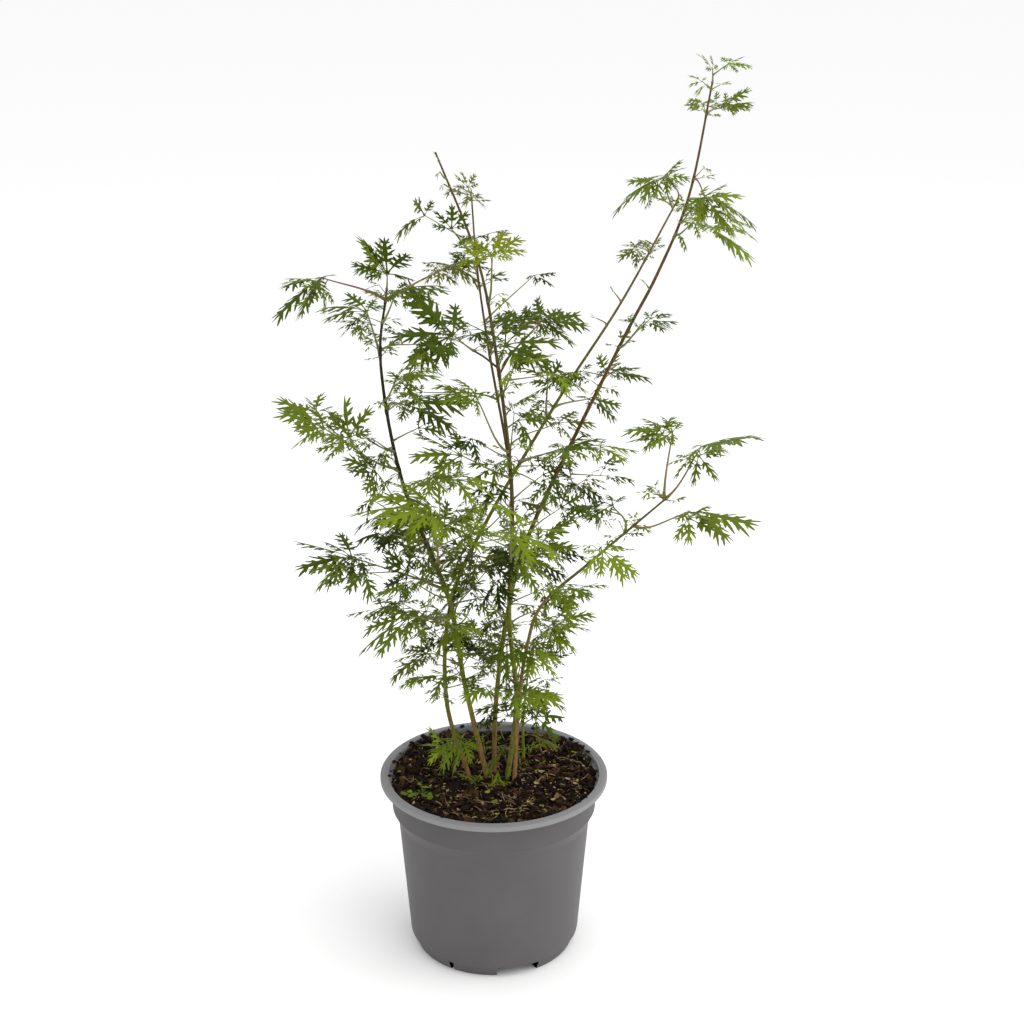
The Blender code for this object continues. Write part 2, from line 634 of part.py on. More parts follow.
def make_foliage(limbs, limb_trees, collection, finishes):
    taken = list(limb_trees.items())
    chosen = {mass[0]: [] for mass in MASSES}
    planned = {mass[0]: leaves_of(mass, limbs) for mass in MASSES}
    most = max(len(leaves) for leaves in planned.values())
    for rank in range(most):
        for name, leaves in planned.items():
            if rank >= len(leaves):
                continue
            leaf = leaves[rank]
            blade, twig = feelers(leaf)
            others = [tree for owner, tree in taken if owner != name]
            if any(blade.overlap(tree) or twig.overlap(tree) for tree in others):
                continue
            taken += [(name, blade), (name, twig)]
            chosen[name].append(leaf)
    for index, (name, leaves) in enumerate(chosen.items()):
        meshes = []
        for leaf in leaves:
            meshes.append(twig_mesh(name, leaf["points"], leaf["out"], leaf["foot"], STALK_END))
            blade = blade_mesh(name, leaf["reach"], leaf["small"])
            blade.transform(leaf["matrix"])
            meshes.append(blade)
        join("foliage_" + name, meshes, collection, finishes[index % len(finishes)])


def main():
    for item in list(bpy.data.objects):
        bpy.data.objects.remove(item)
    plant = bpy.data.collections.new("potted_japanese_maple")
    cutters = bpy.data.collections.new("cutters")
    bpy.context.scene.collection.children.link(plant)
    bpy.context.scene.collection.children.link(cutters)

    grey_plastic = material("grey_plastic", (0.16, 0.155, 0.155), 0.55)
    potting_soil = material("potting_soil", (0.035, 0.022, 0.014), 0.95)
    bark = material("bark", (0.12, 0.13, 0.03), 0.7)
    greens = [material("leaf_light", (0.16, 0.25, 0.02), 0.6),
              material("leaf_middle", (0.11, 0.18, 0.02), 0.6),
              material("leaf_dark", (0.07, 0.13, 0.03), 0.6)]

    make_pot(plant, cutters, grey_plastic)
    make_soil(plant, potting_soil)
    limbs = {}
    limb_trees = {}
    for name, facts in LIMBS.items():
        facts = dict(facts)
        if "carrier" in facts:
            facts["carrier"] = limbs[facts["carrier"]]
        limbs[name] = Limb(name, **facts)
        limb = new_object(name, limb_mesh(limbs[name]), plant, bark)
        limb.data.shade_smooth()
        limb_trees[name] = tree_of(limb.data)
    make_foliage(limbs, limb_trees, plant, greens)


main()
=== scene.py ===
# Looks of a potted japanese maple: grey nursery pot, soil, canes, stalks and cut leaves.
import math
import random

import bmesh
import bpy
from mathutils import Matrix, Vector, noise
from mathutils.geometry import interpolate_bezier


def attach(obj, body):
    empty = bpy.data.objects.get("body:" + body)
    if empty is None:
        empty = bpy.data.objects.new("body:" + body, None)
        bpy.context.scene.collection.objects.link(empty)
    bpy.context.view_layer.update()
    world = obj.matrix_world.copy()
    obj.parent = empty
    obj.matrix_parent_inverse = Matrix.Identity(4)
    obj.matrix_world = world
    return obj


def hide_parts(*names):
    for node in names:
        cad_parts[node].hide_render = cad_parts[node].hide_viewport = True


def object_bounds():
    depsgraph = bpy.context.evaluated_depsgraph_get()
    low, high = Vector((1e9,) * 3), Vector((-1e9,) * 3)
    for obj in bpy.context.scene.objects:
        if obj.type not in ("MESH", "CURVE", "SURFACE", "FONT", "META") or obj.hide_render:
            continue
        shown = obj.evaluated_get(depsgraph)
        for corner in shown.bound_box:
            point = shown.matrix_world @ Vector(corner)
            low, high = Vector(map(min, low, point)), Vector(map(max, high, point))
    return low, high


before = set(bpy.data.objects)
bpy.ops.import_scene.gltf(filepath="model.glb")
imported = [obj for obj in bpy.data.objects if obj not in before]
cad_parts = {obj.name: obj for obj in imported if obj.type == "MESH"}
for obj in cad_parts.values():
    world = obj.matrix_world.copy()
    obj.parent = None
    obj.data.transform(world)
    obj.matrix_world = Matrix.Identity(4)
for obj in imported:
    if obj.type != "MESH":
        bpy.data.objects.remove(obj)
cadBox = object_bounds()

mm = 0.001
mergeGap = 0.00001
scene = bpy.context.scene
scene.view_settings.view_transform = "Standard"


# camera, floor and lights

camera = {
    "lens": 70.0,
    "picture": 1024,  # pixels a side
    "distance": 1.587,
    "pitch": 20.38,  # degrees down
    "target": (0.0152, 0.0, 0.3876),
}
pitch = math.radians(camera["pitch"])
cameraData = bpy.data.cameras.new("camera")
cameraData.lens = camera["lens"]
cameraEye = bpy.data.objects.new("camera", cameraData)
away = Vector((0, -math.cos(pitch), math.sin(pitch))) * camera["distance"]
cameraEye.location = Vector(camera["target"]) + away
cameraEye.rotation_euler = (math.pi / 2 - pitch, 0, 0)
scene.collection.objects.link(cameraEye)
scene.camera = cameraEye

lights = {
    # name: place, size, watts, colour
    "key": ((1.1, -1.1, 2.3), 1.9, 15.5, (1.0, 0.99, 0.97)),
    "top": ((0.2, 0.1, 2.3), 1.6, 9.0, (1.0, 1.0, 1.0)),
    "side": ((1.5, 0.0, 0.6), 1.0, 6.5, (1.0, 1.0, 1.0)),
    "front": ((0.3, -2.2, 0.35), 1.6, 9.0, (1.0, 1.0, 1.0)),
}
for name, (place, size, watts, colour) in lights.items():
    lamp = bpy.data.lights.new(name, "AREA")
    lamp.shape = "DISK"
    lamp.size = size
    lamp.energy = watts
    lamp.color = colour
    holder = bpy.data.objects.new(name, lamp)
    holder.location = place
    holder.rotation_euler = (Vector((0, 0, 0.3)) - Vector(place)).to_track_quat("-Z", "Y").to_euler()
    scene.collection.objects.link(holder)
world = bpy.data.worlds.new("studio")
world.use_nodes = True
sky = world.node_tree.nodes["Background"].inputs
sky["Color"].default_value = (1.0, 1.0, 1.0, 1.0)
sky["Strength"].default_value = 1.0
scene.world = world


# shared shader groups

def newGroup(name, inputs, outputs):
    group = bpy.data.node_groups.new(name, "ShaderNodeTree")
    for label, kind, value in inputs:
        socket = group.interface.new_socket(name=label, in_out="INPUT", socket_type="NodeSocket" + kind)
        socket.default_value = value
    for label, kind in outputs:
        group.interface.new_socket(name=label, in_out="OUTPUT", socket_type="NodeSocket" + kind)
    return group, group.nodes.new("NodeGroupInput"), group.nodes.new("NodeGroupOutput")


def fill(tree, sockets, values):
    # sets each socket to its value, or links it to the output that is given
    for socket, value in zip(sockets, values):
        if isinstance(value, bpy.types.NodeSocket):
            tree.links.new(value, socket)
        else:
            socket.default_value = value


def maths(tree, operation, first, second):
    node = tree.nodes.new("ShaderNodeMath")
    node.operation = operation
    fill(tree, node.inputs, (first, second))
    return node.outputs[0]


def objectHeight(tree):
    split = tree.nodes.new("ShaderNodeSeparateXYZ")
    tree.links.new(tree.nodes.new("ShaderNodeTexCoord").outputs["Object"], split.inputs[0])
    return split.outputs["Z"]


def stretchedNoise(tree, given, detail):
    # a noise on Object coordinates, with Scale and Stretch from the group's inputs
    place = tree.nodes.new("ShaderNodeTexCoord")
    stretch = tree.nodes.new("ShaderNodeVectorMath")
    stretch.operation = "MULTIPLY"
    fill(tree, stretch.inputs, (place.outputs["Object"], given.outputs["Stretch"]))
    grain = tree.nodes.new("ShaderNodeTexNoise")
    grain.inputs["Detail"].default_value = detail
    tree.links.new(stretch.outputs["Vector"], grain.inputs["Vector"])
    tree.links.new(given.outputs["Scale"], grain.inputs["Scale"])
    return grain.outputs["Fac"]


def mapped(tree, value, low, high, first=0.0, last=1.0):
    node = tree.nodes.new("ShaderNodeMapRange")
    labels = ("Value", "From Min", "From Max", "To Min", "To Max")
    fill(tree, [node.inputs[label] for label in labels], (value, low, high, first, last))
    return node.outputs["Result"]


def mixed(tree, share, first, second, blend="MIX"):
    node = tree.nodes.new("ShaderNodeMix")
    node.data_type = "RGBA"
    node.blend_type = blend
    factor, firstColour, secondColour = node.inputs[0], node.inputs[6], node.inputs[7]
    fill(tree, (factor, firstColour, secondColour), (share, first, second))
    return node.outputs[2]


# mottle: two colours in soft patches
mottle, given, put = newGroup("mottle", [
    ("First", "Color", (0.5, 0.5, 0.5, 1)), ("Second", "Color", (0.4, 0.4, 0.4, 1)),
    ("Scale", "Float", 40.0), ("Stretch", "Vector", (1, 1, 1)), ("Edge", "Float", 0.15)],
    [("Colour", "Color"), ("Mask", "Float")])
edges = [maths(mottle, operation, 0.5, given.outputs["Edge"]) for operation in ("SUBTRACT", "ADD")]
patch = mapped(mottle, stretchedNoise(mottle, given, 4.0), *edges)
colour = mixed(mottle, patch, given.outputs["First"], given.outputs["Second"])
mottle.links.new(colour, put.inputs["Colour"])
mottle.links.new(patch, put.inputs["Mask"])

# relief: a bump from stretched noise
relief, given, put = newGroup("relief", [
    ("Scale", "Float", 400.0), ("Stretch", "Vector", (1, 1, 1)),
    ("Strength", "Float", 0.3), ("Distance", "Float", 0.0005)], [("Normal", "Vector")])
bump = relief.nodes.new("ShaderNodeBump")
fill(relief, [bump.inputs[label] for label in ("Height", "Strength", "Distance")],
     (stretchedNoise(relief, given, 3.0), given.outputs["Strength"], given.outputs["Distance"]))
relief.links.new(bump.outputs["Normal"], put.inputs["Normal"])

# caneFade: three colours up a cane, with wavering borders
caneFade, given, put = newGroup("caneFade", [
    ("Foot", "Color", (0.3, 0.2, 0.1, 1)), ("Middle", "Color", (0.2, 0.2, 0.05, 1)),
    ("Top", "Color", (0.1, 0.05, 0.03, 1)), ("Foot End", "Float", 0.2), ("Top Start", "Float", 0.4),
    ("Scale", "Float", 60.0), ("Stretch", "Vector", (1, 1, 0.3))], [("Colour", "Color")])
waver = mapped(caneFade, stretchedNoise(caneFade, given, 3.0), 0.0, 1.0, -0.05, 0.05)
height = maths(caneFade, "ADD", objectHeight(caneFade), waver)
past = [mapped(caneFade, maths(caneFade, "SUBTRACT", height, given.outputs[label]), -0.03, 0.05)
        for label in ("Foot End", "Top Start")]
lower = mixed(caneFade, past[0], given.outputs["Foot"], given.outputs["Middle"])
caneFade.links.new(mixed(caneFade, past[1], lower, given.outputs["Top"]), put.inputs["Colour"])


def newFinish(name, colour, roughness, specular=0.4):
    made = bpy.data.materials.new(name)
    made.use_nodes = True
    shader = made.node_tree.nodes["Principled BSDF"]
    shader.inputs["Base Color"].default_value = (*colour, 1)
    shader.inputs["Roughness"].default_value = roughness
    shader.inputs["Specular IOR Level"].default_value = specular
    return made, made.node_tree, shader


def addGroup(tree, group, **values):
    node = tree.nodes.new("ShaderNodeGroup")
    node.node_tree = group
    for label, value in values.items():
        node.inputs[label.replace("_", " ")].default_value = value
    return node


def addRelief(tree, shader, **values):
    bumps = addGroup(tree, relief, **values)
    tree.links.new(bumps.outputs["Normal"], shader.inputs["Normal"])


def mottledFinish(name, first, second, roughness, scale, edge, strength, distance, grainScale,
                  stretch=(1, 1, 1), specular=0.4):
    # two colours in patches, roughness that follows them, and a fine relief
    made, tree, shader = newFinish(name, first, roughness[0], specular)
    patches = addGroup(tree, mottle, First=(*first, 1), Second=(*second, 1), Scale=scale, Stretch=stretch,
                       Edge=edge)
    tree.links.new(patches.outputs["Colour"], shader.inputs["Base Color"])
    tree.links.new(mapped(tree, patches.outputs["Mask"], 0, 1, *roughness), shader.inputs["Roughness"])
    addRelief(tree, shader, Scale=grainScale, Stretch=stretch, Strength=strength, Distance=distance)
    return made


# floor

floorMesh = bpy.data.meshes.new("floor")
bm = bmesh.new()
bmesh.ops.create_grid(bm, x_segments=1, y_segments=1, size=8.0)
bm.to_mesh(floorMesh)
bm.free()
floor = bpy.data.objects.new("floor", floorMesh)
floorMesh.materials.append(newFinish("floorPaper", (0.955, 0.955, 0.955), 0.9, 0.0)[0])
scene.collection.objects.link(floor)
print("camera, lights, shader groups and floor made")


# helpers for pieces

def newPiece(name, mesh, finish, nodes=()):
    mesh.name = name
    mesh.materials.clear()
    mesh.materials.append(finish)
    piece = bpy.data.objects.new(name, mesh)
    scene.collection.objects.link(piece)
    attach(piece, "root")
    if nodes:
        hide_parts(*nodes)
    return piece


def meshFrom(bm, name):
    mesh = bpy.data.meshes.new(name)
    bm.to_mesh(mesh)
    bm.free()
    return mesh


def spun(bm, profile, steps, start=0.0, angle=2 * math.pi):
    # turns a line of (radius, height) about the Z axis
    line = [bm.verts.new((radius * math.cos(start), radius * math.sin(start), height))
            for radius, height in profile]
    edges = [bm.edges.new(pair) for pair in zip(line, line[1:])]
    bmesh.ops.spin(bm, geom=line + edges, cent=(0, 0, 0), axis=(0, 0, 1), angle=angle, steps=steps,
                   use_merge=angle >= 2 * math.pi)


def scattered(templates, places):
    # copies of small meshes, each under its own matrix, in one mesh
    bm = bmesh.new()
    for template, matrix in zip(templates, places):
        copy = template.copy()
        copy.transform(matrix)
        bm.from_mesh(copy)
        bpy.data.meshes.remove(copy)
    return meshFrom(bm, "scattered")


def strewn(dice, templates, places):
    # the same, with a template drawn for each place
    return scattered([dice.choice(templates) for place in places], places)


def placed(turned, leaning, axis, spot, size):
    # the matrix of a small piece that is sized, leant about an axis, turned about Z and set at a spot
    turn = Matrix.Rotation(turned, 4, "Z") @ Matrix.Rotation(leaning, 4, axis)
    return Matrix.Translation(spot) @ turn @ Matrix.Diagonal((*size, 1))


def tubes(runs, resolution):
    # round tubes along lines of points, each point with its radius
    curve = bpy.data.curves.new("tubes", "CURVE")
    curve.dimensions = "3D"
    curve.bevel_depth = mm
    curve.bevel_resolution = resolution
    curve.use_fill_caps = True
    for points, radii in runs:
        spline = curve.splines.new("POLY")
        spline.points.add(len(points) - 1)
        for knot, point, radius in zip(spline.points, points, radii):
            knot.co = (*point, 1)
            knot.radius = radius / mm
    guide = bpy.data.objects.new("tubes", curve)
    scene.collection.objects.link(guide)
    mesh = bpy.data.meshes.new_from_object(guide.evaluated_get(bpy.context.evaluated_depsgraph_get()))
    bpy.data.objects.remove(guide)
    bm = bmesh.new()
    bm.from_mesh(mesh)
    bmesh.ops.remove_doubles(bm, verts=bm.verts[:], dist=mergeGap)
    bmesh.ops.recalc_face_normals(bm, faces=bm.faces[:])
    bm.to_mesh(mesh)
    bm.free()
    mesh.shade_smooth()
    return mesh


# pot

pot = {
    "steps": 144,
    # outlines as radius and height: the lip from the inside out, then down the outside to the underside
    "lip": [(0.0848, 0.1502), (0.0852, 0.151), (0.0874, 0.1518), (0.088, 0.1556), (0.0884, 0.156),
            (0.0898, 0.156), (0.09, 0.15575), (0.0903, 0.15575), (0.0905, 0.156), (0.0934, 0.156),
            (0.0945, 0.1556), (0.095, 0.1548), (0.095, 0.1522), (0.0947, 0.1515), (0.0938, 0.1512),
            (0.0868, 0.1511)],
    "outside": [(0.0862, 0.1508), (0.0849, 0.1284), (0.0852, 0.1278), (0.0851, 0.1272), (0.0846, 0.1265),
                (0.0812, 0.119), (0.0803, 0.1172), (0.08, 0.115), (0.0715, 0.0125), (0.0711, 0.0106),
                (0.0702, 0.0093), (0.0692, 0.0086)],
    "underside": [(0.0692, 0.0085), (0.0222, 0.0085), (0.022, 0.0083), (0.022, 0.0003), (0.0217, 0.0),
                  (0.0, 0.0)],
    "inside": [(0.0, 0.011), (0.068, 0.011), (0.0692, 0.013), (0.0782, 0.1168), (0.0828, 0.127),
               (0.0843, 0.148)],
    "lug": [(0.0692, 0.0086), (0.0689, 0.007), (0.0663, 0.0006), (0.0657, 0.0), (0.0566, 0.0),
            (0.056, 0.0006), (0.056, 0.0086)],
    "wideGaps": (17.5, 137.5, 257.5),  # degrees to the right of the front
    "narrowGaps": (-31.0, 76.0, 200.0),
    "wideHalf": 15.3,
    "narrowHalf": 1.7,
    "lugStep": 2.5,  # degrees between the lugs' sections
    "lugEdge": 0.0009,  # rounding of the lugs' edges
    "sharpAngle": 38,
    "lipHighlightBand": (0.1508, 0.1518),  # heights where the lip's painted highlight starts and is full
    # the lip's lighter grey is a painted highlight
    "lipHighlightColour": (0.205, 0.204, 0.209, 1),
}
bm = bmesh.new()
spun(bm, pot["inside"] + pot["lip"] + pot["outside"] + pot["underside"], pot["steps"])
bmesh.ops.remove_doubles(bm, verts=bm.verts[:], dist=mergeGap)
gaps = sorted([(angle, pot["wideHalf"]) for angle in pot["wideGaps"]]
              + [(angle, pot["narrowHalf"]) for angle in pot["narrowGaps"]])
for index, (angle, half) in enumerate(gaps):
    nextAngle, nextHalf = gaps[(index + 1) % len(gaps)]
    start = angle + half
    end = nextAngle - nextHalf + (360 if nextAngle < angle else 0)
    lug = bmesh.new()
    arc = math.radians(end - start)
    spun(lug, pot["lug"], max(6, round(math.degrees(arc) / pot["lugStep"])), math.radians(start - 90), arc)
    bmesh.ops.holes_fill(lug, edges=lug.edges[:], sides=8)
    ends = [face for face in lug.faces if len(face.verts) > 4]
    rims = list({edge for face in ends for edge in face.edges})
    bmesh.ops.bevel(lug, geom=rims, offset=pot["lugEdge"], affect="EDGES", segments=2, profile=0.5,
                    material=-1)
    lugMesh = meshFrom(lug, "lug")
    bm.from_mesh(lugMesh)
    bpy.data.meshes.remove(lugMesh)
bmesh.ops.recalc_face_normals(bm, faces=bm.faces[:])
potMesh = meshFrom(bm, "pot")
potMesh.shade_smooth()
potMesh.set_sharp_from_angle(angle=math.radians(pot["sharpAngle"]))
greyPlastic = mottledFinish("greyPlastic", (0.079, 0.075, 0.076), (0.094, 0.09, 0.091), (0.5, 0.58), 22.0,
                            0.22, 0.25, 0.00012, 1400.0, specular=0.25)
# the lip is painted lighter than the wall: a painted highlight where the lip catches the top light
tree = greyPlastic.node_tree
base = tree.nodes["Principled BSDF"].inputs["Base Color"]
onLipHighlight = mapped(tree, objectHeight(tree), *pot["lipHighlightBand"])
tree.links.new(mixed(tree, onLipHighlight, base.links[0].from_socket, pot["lipHighlightColour"]), base)
newPiece("pot", potMesh, greyPlastic, ["pot"])
print("pot made")


# soil

soil = {
    "radius": 0.0874,  # at the lip
    "wall": 0.0845,  # below the ledge under the lip
    "ledge": 0.151,
    "middle": 0.1496,
    "edge": 0.1512,
    # direction and half width of each heap in degrees, and its height at the lip
    "heaps": ((138, 24, 0.0044), (40, 20, 0.0036), (90, 14, -0.0034)),
    "riseFrom": 0.55,  # share of the radius where the rise to the lip starts
    "risePower": 1.5,
    "fallFrom": 0.975,  # share where the mix falls off at the lip
    "fall": 0.1,
    "rings": 56,
    "steps": 170,
    "rough": 0.0024,  # height of the lumps
    "lumps": ((90, 0.3, 0.7), (260, 1.7, 0.45)),  # scale, level and weight of the noises
    "widening": 0.001,  # height in which the ledge widens to the lip
    "seed": 11,
}


def soilHeight(x, y):
    away = min(math.hypot(x, y) / soil["radius"], 1.0)
    rise = soil["edge"] - soil["middle"]
    for direction, half, height in soil["heaps"]:
        turned = (math.degrees(math.atan2(y, x)) - direction + 180) % 360 - 180
        rise += height * math.exp(-(turned / half) ** 2)
    out = max(0.0, (away - soil["riseFrom"]) / (1 - soil["riseFrom"])) ** soil["risePower"]
    flat = soil["middle"] + rise * out - soil["fall"] * max(0.0, away - soil["fallFrom"])
    lumps = sum(noise.noise(Vector((x, y, level)) * scale) * weight
                for scale, level, weight in soil["lumps"])
    return flat + soil["rough"] * lumps * (1 - 0.6 * away ** 6)


def heldIn(spot, spare=0.0):
    # draws a spot in to the pot's wall, which widens to the lip
    past = min(max((spot.z - soil["ledge"]) / soil["widening"], 0.0), 1.0)
    widest = soil["wall"] + (soil["radius"] - soil["wall"]) * past
    away = spot.xy.length
    if away > widest - spare:
        spot.xy = spot.xy * ((widest - spare) / away)
    return spot


bm = bmesh.new()
spun(bm, [(soil["radius"] * ring / soil["rings"], 0.0) for ring in range(soil["rings"] + 1)], soil["steps"])
bmesh.ops.remove_doubles(bm, verts=bm.verts[:], dist=mergeGap)
for vert in bm.verts:
    vert.co.z = soilHeight(vert.co.x, vert.co.y)
    heldIn(vert.co)
bmesh.ops.recalc_face_normals(bm, faces=bm.faces[:])
if sum(face.normal.z for face in bm.faces) < 0:
    bmesh.ops.reverse_faces(bm, faces=bm.faces[:])
soilMesh = meshFrom(bm, "soil")
soilMesh.shade_smooth()
# near-black soil under the chips: partly the soil's own dark colour, partly painted shade for the deep gaps
# between the bits
darkSoil = mottledFinish("darkSoil", (0.008, 0.005, 0.003), (0.02, 0.011, 0.006), (0.9, 0.8), 240.0, 0.1,
                         0.8, 0.0012, 900.0, specular=0.03)
newPiece("soil", soilMesh, darkSoil, ["soil"])

chips = {
    "count": 2600,
    "blunt": 0.2,  # bevel and jitter of a chip, as shares of its size
    "jitter": 0.13,
    "shorter": (0.6, 1.0),
    "width": (0.25, 0.7),  # of the length
    "thick": (0.12, 0.3),
    "leastThick": 0.6,  # millimetres
    "lean": (0.42, 0.5),  # spread about Y and X, in radians
    "lift": (-0.2, 1.2),  # of the thickness
}
crumbs = {
    "count": 50,
    "heaps": ((132, 16), (48, 16)),  # direction and spread in degrees
    "innerShare": 0.8,  # of the crumbs, which lie on the ledge inside the lip
    "inner": (0.0872, 0.0009),  # radius and spread
    "outer": (0.0885, 0.0935),  # radius, from and to
    "innerSize": (1.6, 4.2),  # millimetres
    "outerSize": (0.7, 1.8),
    "innerTop": 0.1552,
    "outerTop": 0.1562,
}
fibres = {
    "count": 170,
    "steps": 8,
    "length": (8, 40),  # millimetres
    "thick": (0.16, 0.46),
    "bend": 0.65,  # radians a step, at most
    "rise": 0.0012,
    "wave": 0.0016,
    "margin": 0.002,  # kept free inside the lip
}
dice = random.Random(soil["seed"])


def chipTemplate():
    bm = bmesh.new()
    bmesh.ops.create_cube(bm, size=1.0)
    bmesh.ops.bevel(bm, geom=bm.edges[:], offset=chips["blunt"], affect="EDGES", segments=1, profile=0.5,
                    material=-1)
    for vert in bm.verts:
        vert.co += Vector([dice.uniform(-chips["jitter"], chips["jitter"]) for axis in "xyz"])
    return meshFrom(bm, "chip")


def onSoil(limit=0.98):
    # a random spot on the soil
    away = soil["radius"] * limit * math.sqrt(dice.random())
    around = dice.uniform(0, 2 * math.pi)
    return away * math.cos(around), away * math.sin(around)


chipTemplates = [chipTemplate() for count in range(8)]
chipTones = {
    # share, first colour, second colour, length range
    "chipsDark": (0.54, (0.006, 0.004, 0.003), (0.017, 0.009, 0.005), (2.5, 11)),
    "chipsBrown": (0.17, (0.028, 0.015, 0.007), (0.056, 0.029, 0.013), (2, 11)),
    "chipsRed": (0.07, (0.062, 0.026, 0.01), (0.11, 0.052, 0.022), (2, 8)),
    "chipsOchre": (0.08, (0.105, 0.068, 0.02), (0.185, 0.125, 0.045), (1.5, 6)),
    "chipsTan": (0.14, (0.23, 0.15, 0.06), (0.45, 0.34, 0.185), (1.0, 3.8)),
}
for name, (share, first, second, longest) in chipTones.items():
    places = []
    for count in range(round(chips["count"] * share)):
        x, y = onSoil()
        length = dice.uniform(*longest) * dice.uniform(*chips["shorter"]) * mm
        width = length * dice.uniform(*chips["width"])
        thick = max(length * dice.uniform(*chips["thick"]), chips["leastThick"] * mm)
        turn = Matrix.Rotation(dice.uniform(0, 6.28), 4, "Z")
        for spread, axis in zip(chips["lean"], "YX"):
            turn = turn @ Matrix.Rotation(dice.gauss(0, spread), 4, axis)
        height = soilHeight(x, y) + thick * dice.uniform(*chips["lift"])
        lift = heldIn(Vector((x, y, height)), length * 0.5)
        places.append(Matrix.Translation(lift) @ turn @ Matrix.Diagonal((length, width, thick, 1)))
    chipMesh = strewn(dice, chipTemplates, places)
    finish = mottledFinish(name, first, second, (0.75, 0.6), 300.0, 0.12, 0.5, 0.0004, 1500.0,
                           specular=0.06)
    newPiece(name, chipMesh, finish)

# crumbs that lie on the pot's lip
places = []
for count in range(crumbs["count"]):
    directions = [dice.gauss(*heap) for heap in crumbs["heaps"]] + [dice.uniform(0, 360)]
    around = math.radians(dice.choice(directions))
    inner = dice.random() < crumbs["innerShare"]
    away = dice.gauss(*crumbs["inner"]) if inner else dice.uniform(*crumbs["outer"])
    size = dice.uniform(*(crumbs["innerSize"] if inner else crumbs["outerSize"])) * mm
    top = crumbs["outerTop"] if away > crumbs["outer"][0] else crumbs["innerTop"]
    spot = (away * math.cos(around), away * math.sin(around), top + size * 0.25)
    places.append(placed(dice.uniform(0, 6.28), dice.uniform(-0.7, 0.7), "X", spot,
                         (size, size * 0.7, size * 0.5)))
crumbMesh = strewn(dice, chipTemplates, places)
newPiece("lipCrumbs", crumbMesh, bpy.data.materials["chipsDark"])

# straw-like fibres and fine roots
runs = []
for count in range(fibres["count"]):
    x, y = onSoil(0.9)
    way = dice.uniform(0, 6.28)
    bend = dice.uniform(-fibres["bend"], fibres["bend"])
    length = dice.uniform(*fibres["length"]) * mm
    thick = dice.uniform(*fibres["thick"]) * mm
    points = []
    for step in range(fibres["steps"] + 1):
        if math.hypot(x, y) < soil["radius"] - fibres["margin"]:
            height = soilHeight(x, y) + fibres["rise"] + fibres["wave"] * math.sin(step * 0.8 + count)
            points.append(Vector((x, y, height)))
        x += math.cos(way) * length / fibres["steps"]
        y += math.sin(way) * length / fibres["steps"]
        way += bend * dice.uniform(0.3, 1.0)
    if len(points) > 3:
        runs.append((points, [thick * (1 - 0.7 * index / len(points)) for index in range(len(points))]))
strawFinish = mottledFinish("straw", (0.48, 0.35, 0.185), (0.15, 0.08, 0.034), (0.7, 0.6), 120.0, 0.15,
                            0.3, 0.0002, 1500.0, specular=0.1)
newPiece("soilFibres", tubes(runs, 0), strawFinish)
print("soil made")


# limbs

limbs = {
    # foot and tip radius and route in millimetres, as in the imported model; the row of caneTones; for a side
    # limb, its carrier and the share of the carrier's length where it leaves
    "cane_crossing": dict(foot=1.9, tip=0.65, tones="crossing", route=[
        (-19, -3, 147), (-39, 2, 221), (-35, 14, 302), (-7, 40, 362), (55, 58, 467), (103, 71, 541),
        (147, 82, 622)]),
    "cane_left": dict(foot=2.2, tip=0.8, tones="left", route=[
        (-5, 1, 147), (-24, 2, 237), (-36, -12, 319), (-70, -30, 424), (-84, -38, 520), (-78, -40, 580)]),
    "cane_tall": dict(foot=2.1, tip=0.65, tones="tall", route=[
        (0, 10, 147), (2, 20, 213), (12, 34, 288), (32, 34, 363), (98, 6, 521), (126, -7, 584),
        (147, -20, 647), (160, -32, 731)]),
    "cane_centre": dict(foot=2.2, tip=0.65, tones="centre", route=[
        (11, 0, 147), (19, 8, 218), (13, 6, 293), (15, 0, 406), (2, -6, 527), (-12, -14, 600),
        (-41, -26, 679)]),
    "cane_right": dict(foot=1.8, tip=0.7, tones="right", route=[
        (17, -7, 147), (21, -14, 229), (28, -26, 286), (40, -38, 325), (75, -60, 368), (132, -80, 429)]),
    "basal_shoot": dict(foot=1.2, tip=0.7, tones="shoot", route=[
        (25, 36, 147), (25, 38, 190), (31, 48, 243)]),
    "centre_fork": dict(foot=1.2, tip=0.6, tones="centre", carrier="cane_centre", at=0.51, route=[
        (9, 11, 450), (-3, 20, 516), (-12, 29, 580), (-16, 36, 633)]),
    "bough_left": dict(foot=0.9, tip=0.7, tones="centre", carrier="cane_centre", at=0.67, route=[
        (-6, -2, 516), (-15, 0, 521)]),
    "bough_right": dict(foot=0.9, tip=0.7, tones="redBough", carrier="cane_centre", at=0.66, route=[
        (14, 8, 515), (25, 18, 525)]),
}
caneTones = {
    # foot, middle and top colour, and the heights where the foot ends and the top starts
    "crossing": ((0.24, 0.125, 0.048), (0.145, 0.152, 0.014), (0.135, 0.112, 0.028), 0.178, 0.5),
    "left": ((0.28, 0.145, 0.058), (0.17, 0.178, 0.016), (0.029, 0.024, 0.009), 0.182, 0.34),
    "tall": ((0.25, 0.115, 0.05), (0.175, 0.182, 0.018), (0.118, 0.066, 0.02), 0.18, 0.34),
    "centre": ((0.19, 0.2, 0.03), (0.16, 0.168, 0.016), (0.105, 0.072, 0.021), 0.185, 0.33),
    "right": ((0.29, 0.165, 0.06), (0.165, 0.12, 0.034), (0.09, 0.105, 0.016), 0.205, 0.33),
    "shoot": ((0.19, 0.22, 0.028), (0.18, 0.22, 0.022), (0.15, 0.19, 0.018), 0.16, 0.2),
    "redBough": ((0.16, 0.06, 0.026), (0.15, 0.066, 0.026), (0.15, 0.06, 0.026), 0.2, 0.45),
}
